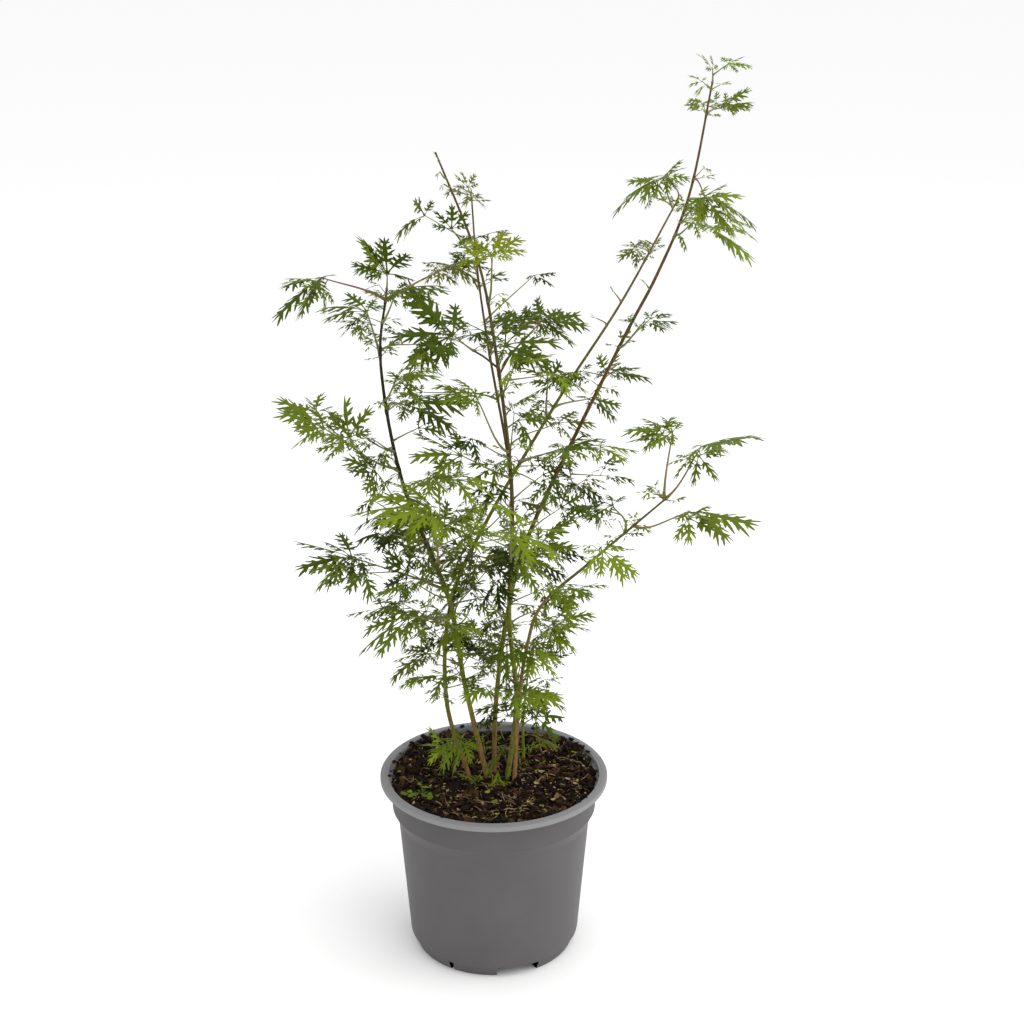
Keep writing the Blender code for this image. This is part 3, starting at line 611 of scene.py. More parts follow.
growth = {
    "flare": 0.7,  # millimetres more radius at the soil
    "flareLength": 9.0,
    "taper": 0.75,
    "step": 2.5,  # millimetres between rings
    "nodeSwell": 0.28,  # of the radius, where a stalk leaves
    "nodeLength": 2.2,
    "barkRough": 0.05,  # of the radius
    "ridges": (900, 900, 160),  # scales of the bark's ridges along the axes
    "ripples": 420,
    "rippleShare": 0.6,
    "tipFrom": 0.995,  # share of a limb past which a stalk goes on from its tip
    "seat": 0.4,  # depth of a stalk's root in its limb, of the radius
    "axil": 30.0,  # degrees that a stalk leans along its limb
    "curveOut": 0.35,
}


def heading(azimuth, rise):
    # the unit vector at an azimuth and a rise in degrees
    turn = math.radians(azimuth)
    lift = math.radians(rise)
    return Vector((math.cos(lift) * math.cos(turn), math.cos(lift) * math.sin(turn), math.sin(lift)))


def runLengths(points):
    total = [0.0]
    for first, second in zip(points, points[1:]):
        total.append(total[-1] + (second - first).length)
    return total


def spotAt(points, lengths, stop):
    # spot and direction at a distance along a line of points
    index = 1
    while index < len(points) - 1 and lengths[index] < stop:
        index += 1
    before, after = points[index - 1:index + 1]
    part = (stop - lengths[index - 1]) / (lengths[index] - lengths[index - 1])
    return before.lerp(after, min(part, 1.0)), (after - before).normalized()


def smoothRoute(route, parts=12):
    # a Catmull-Rom line through the route's points
    padded = [2 * route[0] - route[1], *route, 2 * route[-1] - route[-2]]
    smooth = []
    for index in range(1, len(padded) - 2):
        before, here, there, after = padded[index - 1:index + 3]
        for step in range(parts):
            t = step / parts
            smooth.append(0.5 * (2 * here + (there - before) * t
                                 + (2 * before - 5 * here + 4 * there - after) * t ** 2
                                 + (3 * here - before - 3 * there + after) * t ** 3))
    smooth.append(route[-1])
    return smooth


def limbAt(limb, share):
    # spot, direction and radius at a share of a limb's length
    stop = share * limb["lengths"][-1]
    spot, along = spotAt(limb["line"], limb["lengths"], stop)
    return spot, along, limbRadius(limb, share)


def limbRadius(limb, share):
    facts = limb["facts"]
    radius = facts["tip"] + (facts["foot"] - facts["tip"]) * (1 - share) ** growth["taper"]
    if "carrier" not in facts:
        stop = share * limb["lengths"][-1] / mm
        radius += growth["flare"] * math.exp(-2 * stop / growth["flareLength"])
    return radius * mm


def leave(limb, share, goal):
    # start and first direction of a side limb or stalk, rooted in its carrier's skin
    spot, along, thick = limbAt(limb, share)
    if share > growth["tipFrom"]:
        return spot - along * mm, along
    side = goal - spot
    side = (side - along * side.dot(along)).normalized()
    out = side * math.cos(math.radians(growth["axil"])) + along * math.sin(math.radians(growth["axil"]))
    return spot + out * thick * growth["seat"], out


grown = {}
for name, facts in limbs.items():
    route = [Vector(point) * mm for point in facts["route"]]
    if "carrier" in facts:
        start, out = leave(grown[facts["carrier"]], facts["at"], route[0])
        route = [start, *route]
    line = smoothRoute(route)
    grown[name] = {"facts": facts, "line": line, "lengths": runLengths(line)}
print("limb routes worked out")


# leaves

leafShape = {
    # leaflets about the hub as angle and length, pairs of lobes on each, and how many variants
    "broad": dict(fan=((0, 1.0), (34, 0.95), (69, 0.78), (106, 0.5)), pairs=4, variants=11),
    "small": dict(fan=((0, 1.0), (40, 0.88), (82, 0.62)), pairs=3, variants=11),
    "tiny": dict(fan=((0, 1.0), (52, 0.72)), pairs=2, variants=7),
    "neckEnd": 0.27,  # where a leaflet's narrow foot ends, as a share of its length
    "hubHalf": 0.03,  # half widths of the blade along the rib, as shares of the length
    "neckHalf": 0.013,
    "bodyHalf": 0.05,
    "bodyFrom": 0.46,
    "lobeReach": 0.205,
    "lobeAngle": (50, 24),  # degrees from the rib, first and last pair
    "toothReach": 0.42,  # of a lobe
    "lift": (-0.26, 0.3),  # of a leaflet out of the leaf's plane
    "curl": (0.0, 0.28),
    "twist": 0.95,
    "sway": 0.22,
    "fold": 0.3,  # fall of a leaflet's margins below its rib
    "droop": 0.11,
    "seed": 5,
}
leafDice = random.Random(leafShape["seed"])


def bladeHalf(along):
    # half width of a leaflet's blade at a share of its length
    foot = leafShape["neckEnd"] * 0.6
    if along < foot:
        return leafShape["hubHalf"] + (leafShape["neckHalf"] - leafShape["hubHalf"]) * along / foot
    if along < leafShape["bodyFrom"]:
        part = (along - foot) / (leafShape["bodyFrom"] - foot)
        return leafShape["neckHalf"] + (leafShape["bodyHalf"] - leafShape["neckHalf"]) * part ** 1.5
    part = (along - leafShape["bodyFrom"]) / (1 - leafShape["bodyFrom"])
    return leafShape["bodyHalf"] * (1 - part ** 1.7)


def drawOut(bm, edge, push, squeeze):
    # draws a margin edge out by push, squeezed towards its middle, and gives the new outer edge
    made = bmesh.ops.extrude_edge_only(bm, edges=[edge])["geom"]
    ends = [part for part in made if isinstance(part, bmesh.types.BMVert)]
    middle = (ends[0].co + ends[1].co) / 2
    for vert in ends:
        vert.co = middle + (vert.co - middle) * squeeze + push
    return next(part for part in made if isinstance(part, bmesh.types.BMEdge)
                and all(vert in ends for vert in part.verts))


def leafletMesh(kind):
    # one leaflet along +X, one unit long: a narrow blade with toothed lobes drawn out of both margins
    pairs = leafShape[kind]["pairs"]
    steps = 2 * pairs + 3
    neckEnd = leafShape["neckEnd"]
    bm = bmesh.new()
    bmesh.ops.create_grid(bm, x_segments=steps, y_segments=2, size=0.5)
    for vert in bm.verts:
        index = round((vert.co.x + 0.5) * steps)
        side = round(2 * vert.co.y)
        along = neckEnd * index / 2 * (1.2 if index == 1 else 1) if index < 2 else (
            neckEnd + (1 - neckEnd) * (index - 2) / (steps - 2))
        vert.co = Vector((along, side * bladeHalf(along), 0.0))
    margins = {}
    for edge in bm.edges:
        low, high = sorted(edge.verts, key=lambda vert: vert.co.x)
        if low.co.y * high.co.y > 0 and high.co.x - low.co.x > 0.01:
            index = round(2 + (low.co.x - neckEnd) / (1 - neckEnd) * (steps - 2))
            margins[index, 1 if low.co.y > 0 else -1] = edge
    for rank in range(pairs):
        for side in (1, -1):
            edge = margins.get((2 + 2 * rank, side))
            if edge is None or leafDice.random() < 0.05:
                continue
            place = (edge.verts[0].co.x + edge.verts[1].co.x) / 2
            part = rank / (pairs - 1)
            lean = math.radians(leafShape["lobeAngle"][0] * (1 - part) + leafShape["lobeAngle"][1] * part
                                + leafDice.uniform(-7, 7))
            swell = math.sin(math.pi * (0.16 + 0.7 * place))
            reach = leafShape["lobeReach"] * swell * leafDice.uniform(0.7, 1.3)
            push = Vector((math.cos(lean), side * math.sin(lean), 0)) * reach
            near = min(edge.verts, key=lambda vert: vert.co.x)
            middle = drawOut(bm, edge, push * 0.55, 0.96)
            if kind != "tiny":
                flank = next((part for part in near.link_edges
                              if any(vert in middle.verts for vert in part.verts)), None)
                if flank:
                    tooth = Vector((math.cos(lean + 0.5), side * math.sin(lean + 0.5), 0)) * reach
                    drawOut(bm, flank, tooth * leafShape["toothReach"] * leafDice.uniform(0.6, 1.3), 0.3)
                drawOut(bm, middle, push * 0.5, 0.4)
            else:
                for vert in middle.verts:
                    vert.co += push * 0.3
    bmesh.ops.remove_doubles(bm, verts=bm.verts[:], dist=0.001)
    return meshFrom(bm, "leaflet")


def leafMesh(kind):
    # a whole leaf about its hub, one unit in reach, with its middle leaflet along +X
    bm = bmesh.new()
    for angle, length in leafShape[kind]["fan"]:
        for side in ((1, -1) if angle else (1,)):
            leaflet = leafletMesh(kind)
            length *= leafDice.uniform(0.9, 1.06)
            lift = leafDice.uniform(*leafShape["lift"])
            curl = leafDice.uniform(*leafShape["curl"])
            twist = leafDice.uniform(-leafShape["twist"], leafShape["twist"])
            sway = leafDice.uniform(-leafShape["sway"], leafShape["sway"])
            for vert in leaflet.vertices:
                x, y = vert.co.x, vert.co.y
                z = lift * x - curl * x * x - leafShape["fold"] * abs(y)
                vert.co = Vector((x, y * math.cos(twist * x) + sway * x * x, z + y * math.sin(twist * x)))
            turn = Matrix.Rotation(math.radians(side * (angle + leafDice.uniform(-6, 6))), 4, "Z")
            leaflet.transform(turn @ Matrix.Scale(length, 4))
            bm.from_mesh(leaflet)
            bpy.data.meshes.remove(leaflet)
    for vert in bm.verts:
        vert.co.z -= leafShape["droop"] * (vert.co.x ** 2 + vert.co.y ** 2)
    return meshFrom(bm, kind + "Leaf")


leafTemplates = {kind: [leafMesh(kind) for count in range(leafShape[kind]["variants"])]
                 for kind in ("broad", "small", "tiny")}
print("leaf shapes made")


# masses of foliage

masses = {
    # for each limb: name, share of its length; stalk azimuth, rise and length; blade azimuth, pitch, reach
    # and roll; leaves, side of the second one; tone, which paints the light and shade that falls on the mass
    "cane_tall": [
        ("top_tuft", 1.0, (-100, 65, 10), (150, 62, 18, 0), 2, 1, "middle"),
        ("top_whorl", 0.96, (55, 5, 25), (30, 15, 29, 0), 2, 1, "middle"),
        ("high_right_front", 0.88, (-80, -10, 35), (-25, -26, 50, 0), 1, 1, "middle"),
        ("high_right_back", 0.84, (55, -30, 33), (25, -20, 50, 0), 2, -1, "bright"),
        ("tall_middle", 0.64, (-60, 40, 44), (-10, 10, 30, 0), 2, 1, "deep"),
        ("tall_behind", 0.58, (75, 0, 38), (30, 0, 40, 0), 2, 1, "deep"),
        ("tall_dark", 0.45, (75, -30, 56), (35, -25, 36, 10), 3, 1, "dark"),
        ("tall_low", 0.32, (75, -35, 48), (45, -20, 36, 10), 4, 1, "dark"),
        ("tall_core", 0.17, (120, 0, 42), (140, 20, 34, 0), 5, -1, "middle"),
    ],
    "cane_crossing": [
        ("crossing_tip", 1.0, (-130, 50, 28), (180, -8, 46, 10), 1, 1, "middle"),
        ("crossing_high", 0.9, (70, 10, 26), (110, 15, 20, 0), 2, 1, "olive"),
        ("crossing_front", 0.62, (-90, 60, 44), (-100, 60, 34, 0), 1, 1, "middle"),
        ("crossing_back", 0.64, (50, -5, 45), (25, -15, 38, 10), 2, 1, "deep"),
        ("crossing_fan", 0.54, (-65, 25, 78), (-10, 0, 46, 0), 3, -1, "middle"),
        ("crossing_low", 0.15, (-90, 45, 50), (-150, 5, 28, -10), 4, 1, "middle"),
        ("pot_edge_leaf", 0.06, (-85, 35, 44), (-140, -25, 36, 0), 1, 1, "middle"),
    ],
    "cane_left": [
        ("left_top", 1.0, (-80, 65, 14), (-110, 60, 42, 0), 1, 1, "deep"),
        ("left_tan_twig", 0.98, (30, 20, 58), (20, -20, 28, 0), 2, -1, "olive"),
        ("far_left", 0.98, (-155, 24, 55), (-165, -22, 46, 0), 1, 1, "deep"),
        ("left_upper_back", 0.88, (105, 25, 54), (150, 5, 42, -10), 1, 1, "deep"),
        ("left_upper_front", 0.94, (-70, 40, 53), (-35, 10, 45, 0), 1, 1, "deep"),
        ("left_inner", 0.89, (35, 0, 34), (-15, -10, 32, 10), 2, 1, "deep"),
        ("left_middle_front", 0.8, (-70, 40, 44), (0, 25, 34, 0), 2, 1, "middle"),
        ("left_middle_right", 0.78, (75, -10, 46), (15, 0, 52, 5), 1, 1, "deep"),
        ("left_long_stalk", 0.67, (-150, 35, 76), (165, 55, 46, 0), 4, -1, "middle"),
        ("left_arching", 0.62, (-70, 30, 63), (-20, -10, 42, 0), 2, 1, "middle"),
        ("left_comb", 0.51, (100, 5, 38), (165, 0, 38, -10), 4, 1, "deep"),
        ("front_broad", 0.47, (-90, 45, 105), (-170, 20, 56, -10), 2, 1, "bright"),
        ("left_low_long", 0.41, (160, 12, 84), (170, 15, 50, -5), 5, -1, "deep"),
        ("left_low", 0.35, (-125, 20, 62), (-165, -14, 48, -10), 5, 1, "middle"),
    ],
    "cane_centre": [
        ("centre_high_left", 0.84, (-115, 35, 51), (-85, 65, 26, 0), 2, 1, "deep"),
        ("centre_high_right", 0.77, (-85, 45, 66), (-80, 65, 36, 0), 1, 1, "yellow"),
        ("centre_right_front", 0.63, (-80, 35, 63), (-50, 45, 38, 10), 2, 1, "bright"),
        ("centre_left_front", 0.54, (-120, 50, 78), (-170, 25, 38, -10), 1, 1, "middle"),
        ("centre_left_broad", 0.5, (-130, 30, 68), (165, 25, 44, -5), 1, 1, "middle"),
        ("front_centre", 0.36, (-90, 35, 111), (-30, 0, 46, 0), 2, -1, "bright"),
    ],
    "bough_left": [
        ("bough_left_end", 1.0, (135, 20, 24), (170, 30, 56, -30), 3, 1, "deep"),
    ],
    "bough_right": [
        ("bough_right_end", 1.0, (50, 25, 24), (30, 5, 44, 15), 2, 1, "deep"),
    ],
    "centre_fork": [
        ("fork_tip", 1.0, (145, 65, 8), (120, 60, 18, 0), 2, 1, "olive"),
        ("fork_high", 0.68, (95, 5, 49), (105, 20, 30, 0), 2, 1, "dark"),
        ("fork_low", 0.43, (80, 5, 68), (70, 30, 40, 0), 3, 1, "deep"),
    ],
    "cane_right": [
        ("right_end", 1.0, (-20, 60, 50), (-5, 10, 54, -10), 1, 1, "middle"),
        ("right_upper", 0.99, (73, 65, 52), (170, 5, 42, -5), 1, 1, "middle"),
        ("right_outer", 0.89, (-45, 25, 61), (-10, -5, 58, -10), 1, 1, "middle"),
        ("right_inner", 0.86, (100, 10, 43), (160, -10, 42, 0), 2, 1, "deep"),
        ("right_under", 0.78, (-90, 25, 34), (-60, -20, 36, 0), 1, 1, "bright"),
        ("right_middle", 0.6, (-80, 30, 44), (-65, -25, 30, 0), 2, 1, "middle"),
        ("right_low", 0.25, (-95, 35, 38), (-25, 5, 42, 0), 4, 1, "bright"),
    ],
    "basal_shoot": [
        ("shoot_end", 1.0, (40, 40, 32), (20, 5, 40, 0), 4, -1, "middle"),
    ],
}
# the tones are partly the leaves' own spread of greens and partly painted light and shade: deep and dark
# stand for leaves in shadow, bright and yellow for sunlit and backlit leaves
leafTonesLitAndShaded = {
    # colour, slot, and the tone that a side leaf may take in its place
    "bright": ((0.145, 0.198, 0.011), "leaf_light", "middle"),
    "yellow": ((0.19, 0.225, 0.012), "leaf_light", "bright"),
    "middle": ((0.096, 0.134, 0.009), "leaf_middle", "bright"),
    "olive": ((0.095, 0.106, 0.014), "leaf_middle", "middle"),
    "deep": ((0.053, 0.081, 0.005), "leaf_dark", "middle"),
    "dark": ((0.026, 0.042, 0.003), "leaf_dark", "deep"),
}
foliage = {
    # millimetres, degrees and shares; a pair is the range that a value is drawn from
    "firstFork": 0.3,  # share of the main stalk's length that has no side stalk
    "forkSpan": 0.55,
    "forkTurn": (60, 85),
    "forkRise": (-10, 20),
    "sideLength": (0.4, 0.6),
    "sideReach": (0.62, 0.8),
    "sideAim": (-10, 20),
    "sideTilt": 20,
    "sideLeast": 14,
    "longStalk": 40,  # above it a stalk is thicker
    "feet": dict(long=1.0, main=0.8, inner=0.7, side=0.6, near=0.5, tuft=0.45, twig=0.4),  # stalk radii
    "stalkSwell": [1.5, 1.12],  # of the radius, at the foot
    "stalkEnd": 0.9,
    "stalkTaper": 0.52,
    "seed": 21,
    "broadReach": 34,
    "tuftLeaves": (2, 4),  # tiny leaves in the axil of each stalk
    "tuftStalk": (4, 12),
    "tuftReach": (11, 19),
    "twigLeaves": 1.0,  # finer leaves on each side stalk
    "twigReach": (15, 25),
    "nearFrom": 27,  # reach of a blade that has leaves near it
    "nearLeaves": 0.7,  # leaves that leave a main stalk just below its blade
    "nearReach": (0.5, 0.78),  # of that blade
    "toneChange": 0.45,  # share of side leaves that take the tone beside their own
    "singleRise": 35,  # degrees that a single leaf's stalk rises, where it can
    "boxSizes": (1.0, 0.94, 0.88, 0.82, 0.76, 0.7, 0.64, 0.58),  # tried until a leaf is inside the box
}
innerLeaves = {
    # limb: span of its length, as shares, and the number of leaves that fill the middle of the clump
    "cane_crossing": (0.2, 0.42, 15),
    "cane_left": (0.2, 0.6, 30),
    "cane_tall": (0.07, 0.36, 20),
    "cane_centre": (0.1, 0.56, 28),
    "cane_right": (0.08, 0.2, 3),
    "basal_shoot": (0.3, 1.0, 2),
    "centre_fork": (0.1, 0.9, 4),
}
innerSpread = {
    "least": 38,  # millimetres that a leaf's tip is from its cane, low down
    "foot": 170,  # height where that holds
    "grow": 0.28,  # more for each millimetre of height
    "most": 88,
    "shortest": 12,  # stalk
    "turn": 137,  # degrees from one leaf to the next
    "reach": (19, 36),
    "tones": ("deep", "middle", "middle", "deep", "olive", "bright", "dark"),
}
singleLeaves = {
    # leaves between the masses, for each limb: hub, in pixels of the 1024 pixel picture; millimetres that
    # it stands before the limb; tip, in pixels; millimetres that it stands behind the hub; roll; tone
    "cane_crossing": [
        ((424, 620), 28, (414, 657), -4, 30, "middle"), ((663, 178), 4, (680, 154), -4, 0, "middle"),
        ((470, 590), 30, (440, 566), -4, 20, "middle"), ((530, 410), 20, (558, 425), -3, 20, "middle"),
        ((652, 196), 6, (641, 210), 0, 20, "middle"), ((640, 240), 6, (628, 251), 0, 20, "olive"),
        ((614, 292), 3, (611, 284), 0, 10, "middle"), ((596, 318), 3, (590, 313), 0, 10, "olive"),
    ],
    "cane_left": [
        ((414, 583), 30, (374, 598), 6, 35, "middle"), ((408, 572), 12, (388, 544), 5, -30, "deep"),
        ((440, 516), 52, (402, 482), -6, -20, "bright"), ((462, 536), 40, (497, 526), -6, 30, "bright"),
        ((356, 432), 20, (326, 408), 0, 25, "middle"), ((382, 457), 24, (350, 463), -3, 35, "deep"),
        ((398, 474), 10, (370, 496), -3, 30, "middle"), ((388, 448), 18, (362, 472), -3, 30, "middle"),
        ((374, 440), 30, (345, 450), -3, 20, "deep"), ((418, 428), 14, (442, 405), 0, 20, "deep"),
        ((372, 500), 10, (356, 520), -3, 30, "deep"),
    ],
    "cane_tall": [
        ((700, 200), 16, (743, 190), -6, 25, "bright"), ((690, 212), 14, (706, 186), 0, 10, "middle"),
        ((693, 222), 14, (713, 234), -3, 20, "bright"), ((677, 232), 8, (690, 252), 0, 20, "middle"),
        ((646, 284), 3, (641, 277), 0, 10, "middle"), ((628, 318), 3, (634, 313), 0, 10, "middle"),
    ],
    "cane_centre": [
        ((522, 560), 38, (556, 578), -8, 25, "middle"), ((505, 345), 30, (560, 330), 0, 30, "deep"),
        ((540, 545), 34, (572, 520), -4, 30, "middle"), ((518, 420), 20, (545, 442), -3, 25, "deep"),
        ((512, 405), 10, (537, 392), 0, -20, "middle"), ((440, 172), 3, (433, 179), -1, 10, "middle"),
        ((444, 184), 3, (438, 190), -1, 10, "olive"), ((437, 157), 2, (434, 150), 0, 10, "olive"),
    ],
}


def stalkLine(start, out, hub, parts=9):
    # a stalk that leaves its limb along out and bends over to the hub
    reach = (hub - start).length
    arrive = (hub - start).normalized()
    path = interpolate_bezier(start, start + out * reach * growth["curveOut"],
                              hub - arrive * reach * growth["curveOut"], hub, parts)
    return [Vector(point) for point in path]


def bladeMatrix(hub, azimuth, pitch, roll, reach):
    forward = heading(azimuth, pitch)
    across = Vector((0, 0, 1)).cross(forward).normalized()
    upward = forward.cross(across)
    turn = Matrix((forward, across, upward)).transposed().to_4x4()
    return (Matrix.Translation(hub) @ turn @ Matrix.Rotation(math.radians(roll), 4, "X")
            @ Matrix.Scale(reach, 4))


def newLeaf(start, out, hub, part, kind, tone, azimuth, pitch, roll, reach):
    return dict(line=stalkLine(start, out, hub), foot=foliage["feet"][part] * mm, kind=kind, tone=tone,
                azimuth=azimuth, matrix=bladeMatrix(hub, azimuth, pitch, roll, reach))


def sideLeaf(spot, turned, rise, span, part, tone, pitch, roll, reach):
    # a small leaf that leaves a spot straight out; span and reach in millimetres
    away = heading(turned, rise)
    hub = spot + away * (span * mm)
    return newLeaf(spot, away, hub, part, "small", tone, turned, pitch, roll, reach * mm)


def leavesOf(limb, name, at, stalk, blade, count, side, tone):
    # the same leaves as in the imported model, then a tuft in the axil and finer ones on the side stalks
    draw = random.Random(name)
    root = limbAt(limb, at)[0]
    hub = root + heading(stalk[0], stalk[1]) * stalk[2] * mm
    start, out = leave(limb, at, hub)
    part = "long" if stalk[2] > foliage["longStalk"] else "main"
    kind = "broad" if blade[2] > foliage["broadReach"] else "small"
    leaves = [newLeaf(start, out, hub, part, kind, tone, blade[0], blade[1], blade[3], blade[2] * mm)]
    main = leaves[0]["line"]
    lengths = runLengths(main)
    for rank in range(1, count):
        share = foliage["firstFork"] + foliage["forkSpan"] * rank / count
        fork = spotAt(main, lengths, share * lengths[-1])[0]
        azimuth = stalk[0] + side * draw.uniform(*foliage["forkTurn"])
        rise = stalk[1] / 2 + draw.uniform(*foliage["forkRise"])
        reach = max(blade[2] * draw.uniform(*foliage["sideReach"]), foliage["sideLeast"]) * mm
        span = max(stalk[2] * draw.uniform(*foliage["sideLength"]), foliage["sideLeast"]) * mm
        aim = azimuth - side * draw.uniform(*foliage["sideAim"])
        tilt = draw.uniform(-foliage["sideTilt"], foliage["sideTilt"])
        roll = draw.uniform(-foliage["sideTilt"], foliage["sideTilt"])
        away = heading(azimuth, rise)
        end = fork + away * span
        leaves.append(newLeaf(fork, away, end, "side", "small", tone, aim, tilt, roll, reach))
        side = -side
    finer = random.Random(name + " finer")
    if blade[2] > foliage["nearFrom"]:
        for extra in range(int(foliage["nearLeaves"] + finer.random())):
            spot = spotAt(main, lengths, lengths[-1] * finer.uniform(0.62, 0.92))[0]
            turned = blade[0] + finer.choice((-1, 1)) * finer.uniform(25, 75)
            rise = blade[1] + finer.uniform(-15, 30)
            reach = blade[2] * finer.uniform(*foliage["nearReach"])
            leaves.append(sideLeaf(spot, turned, rise, finer.uniform(5, 14), "near", tone,
                                   blade[1] + finer.uniform(-28, 28), finer.uniform(-50, 50), reach))
    for leaf in leaves[1:]:
        if finer.random() < foliage["toneChange"]:
            leaf["tone"] = leafTonesLitAndShaded[tone][2]
    for leaf in leaves[1:]:
        for extra in range(int(foliage["twigLeaves"] + finer.random())):
            line = leaf["line"]
            lengths = runLengths(line)
            spot = spotAt(line, lengths, lengths[-1] * finer.uniform(0.35, 0.85))[0]
            turned = leaf["azimuth"] + finer.choice((-1, 1)) * finer.uniform(40, 80)
            rise = finer.uniform(-15, 40)
            leaves.append(sideLeaf(spot, turned, rise, finer.uniform(*foliage["tuftStalk"]), "twig",
                                   leaf["tone"], finer.uniform(-25, 30), finer.uniform(-35, 35),
                                   finer.uniform(*foliage["twigReach"])))
    tuftAt = min(at, 0.99)
    spot = limbAt(limb, tuftAt)[0]
    radius = limbRadius(limb, tuftAt)
    for extra in range(finer.randint(*foliage["tuftLeaves"])):
        turned = finer.uniform(0, 360)
        away = heading(turned, finer.uniform(0, 60))
        span = finer.uniform(*foliage["tuftStalk"]) * mm
        base = spot + away * radius * 0.5
        leaves.append(newLeaf(base, away, spot + away * span, "tuft", "tiny", leafTonesLitAndShaded[tone][2],
                              turned, finer.uniform(-25, 40), finer.uniform(-35, 35),
                              finer.uniform(*foliage["tuftReach"]) * mm))
    return leaves


def innerLeavesOf(name):
    # leaves along the lower part of a limb, turned round it as they climb
    first, last, count = innerLeaves[name]
    limb = grown[name]
    draw = random.Random(name + " inner")
    leaves = []
    turned = draw.uniform(0, 360)
    for index in range(count):
        share = first + (last - first) * (index + draw.uniform(0.1, 0.9)) / count
        turned += innerSpread["turn"] + draw.uniform(-30, 30)
        root = limbAt(limb, share)[0]
        above = root.z / mm - innerSpread["foot"]
        far = min(innerSpread["least"] + innerSpread["grow"] * above, innerSpread["most"])
        reach = draw.uniform(*innerSpread["reach"])
        span = max(far * draw.uniform(0.55, 1.0) - reach * 0.8, innerSpread["shortest"])
        hub = root + heading(turned, draw.uniform(-5, 50)) * span * mm
        start, out = leave(limb, share, hub)
        kind = "broad" if reach > foliage["broadReach"] else "small"
        leaves.append(newLeaf(start, out, hub, "inner", kind, draw.choice(innerSpread["tones"]),
                              turned + draw.uniform(-30, 30), draw.uniform(-35, 25), draw.uniform(-55, 55),
                              reach * mm))
    return leaves


def seenAt(pixel, y):
    # the point at depth y that the camera sees at a pixel of the picture
    ray = cameraEye.rotation_euler.to_matrix() @ Vector((
        pixel[0] - camera["picture"] / 2, camera["picture"] / 2 - pixel[1],
        -camera["lens"] / cameraData.sensor_width * camera["picture"]))
    return cameraEye.location + ray * ((y - cameraEye.location.y) / ray.y)


def singleLeaf(limb, hub, near, tip, behind, roll, tone):
    # a leaf between two spots of the picture, on the stalk that comes nearest to a usual rise and length
    choices = []
    for root, length in list(zip(limb["line"], limb["lengths"]))[2:-1]:
        spot = seenAt(hub, root.y - near * mm)
        blade = seenAt(tip, spot.y + behind * mm) - spot
        stalk = spot - root
        rise = math.degrees(math.asin(stalk.z / stalk.length))
        strain = abs(rise - foliage["singleRise"]) / 30 + stalk.length / (2 * blade.length)
        choices.append((strain, length, spot, blade))
    strain, length, spot, blade = min(choices, key=lambda choice: choice[0])
    start, out = leave(limb, length / limb["lengths"][-1], spot)
    kind = "broad" if blade.length > foliage["broadReach"] * mm else "small"
    azimuth = math.degrees(math.atan2(blade.y, blade.x))
    pitch = math.degrees(math.asin(blade.z / blade.length))
    return newLeaf(start, out, spot, "main", kind, tone, azimuth, pitch, roll, blade.length)


def keptInside(matrix, shape):
    # a leaf's matrix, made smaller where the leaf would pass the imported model's box
    for size in foliage["boxSizes"]:
        fitted = matrix @ Matrix.Scale(size, 4)
        spots = [fitted @ vert.co for vert in shape.vertices]
        if all(low < part < high for spot in spots for low, part, high in zip(cadBox[0], spot, cadBox[1])):
            break
    return fitted


sprays = {mass[0]: leavesOf(grown[name], *mass) for name, rows in masses.items() for mass in rows}
sprays.update({name: innerLeavesOf(name) for name in innerLeaves})
sprays["single"] = [singleLeaf(grown[name], *row) for name, rows in singleLeaves.items() for row in rows]
allLeaves = [leaf for spray in sprays.values() for leaf in spray]
print("leaves placed:", len(allLeaves))

leafDice = random.Random(foliage["seed"])
# one finish for each leaf tone, carrying the tones' painted light and shade
for tone, (colour, slot, near) in leafTonesLitAndShaded.items():
    own = [leaf for leaf in allLeaves if leaf["tone"] == tone]
    shapes = [leafDice.choice(leafTemplates[leaf["kind"]]) for leaf in own]
    blades = scattered(shapes, [keptInside(leaf["matrix"], shape) for leaf, shape in zip(own, shapes)])
    blades.shade_smooth()
    finish, tree, shader = newFinish("leaf" + tone.capitalize(), colour, 0.55, 0.05)
    addRelief(tree, shader, Scale=900.0, Strength=0.35, Distance=0.0003)
    nodes = ["foliage_" + mass[0] for rows in masses.values() for mass in rows if mass[-1] == tone]
    newPiece("leaves" + tone.capitalize(), blades, finish, nodes)
print("leaves made")


# stalks, in green, tan and red

stalkTones = {
    "Green": ((0.125, 0.16, 0.028), (0.17, 0.15, 0.04)),
    "Tan": ((0.215, 0.15, 0.055), (0.16, 0.13, 0.035)),
    "Red": ((0.18, 0.06, 0.03), (0.15, 0.09, 0.035)),
}
redStalks = ("far_left", "bough_right_end", "high_right_front")
tanStalks = ("left_tan_twig", "crossing_tip", "front_broad", "right_end", "right_outer", "right_upper")
runs = {tone: [] for tone in stalkTones}
for name, spray in sprays.items():
    tone = "Red" if name in redStalks else "Tan" if name in tanStalks else "Green"
    for leaf in spray:
        line = leaf["line"]
        last = len(line) - 1
        swell = foliage["stalkSwell"] + [1.0] * (last - 2) + [foliage["stalkEnd"]]
        radii = [leaf["foot"] * share * (1 - foliage["stalkTaper"] * index / last)
                 for index, share in enumerate(swell)]
        runs[tone].append((line, radii))
for tone, (first, second) in stalkTones.items():
    finish = mottledFinish("stalk" + tone, first, second, (0.55, 0.5), 90.0, 0.15, 0.2, 0.0002, 800.0)
    newPiece("stalks" + tone, tubes(runs[tone], 1), finish)
print("stalks made")


# canes and boughs with bark relief

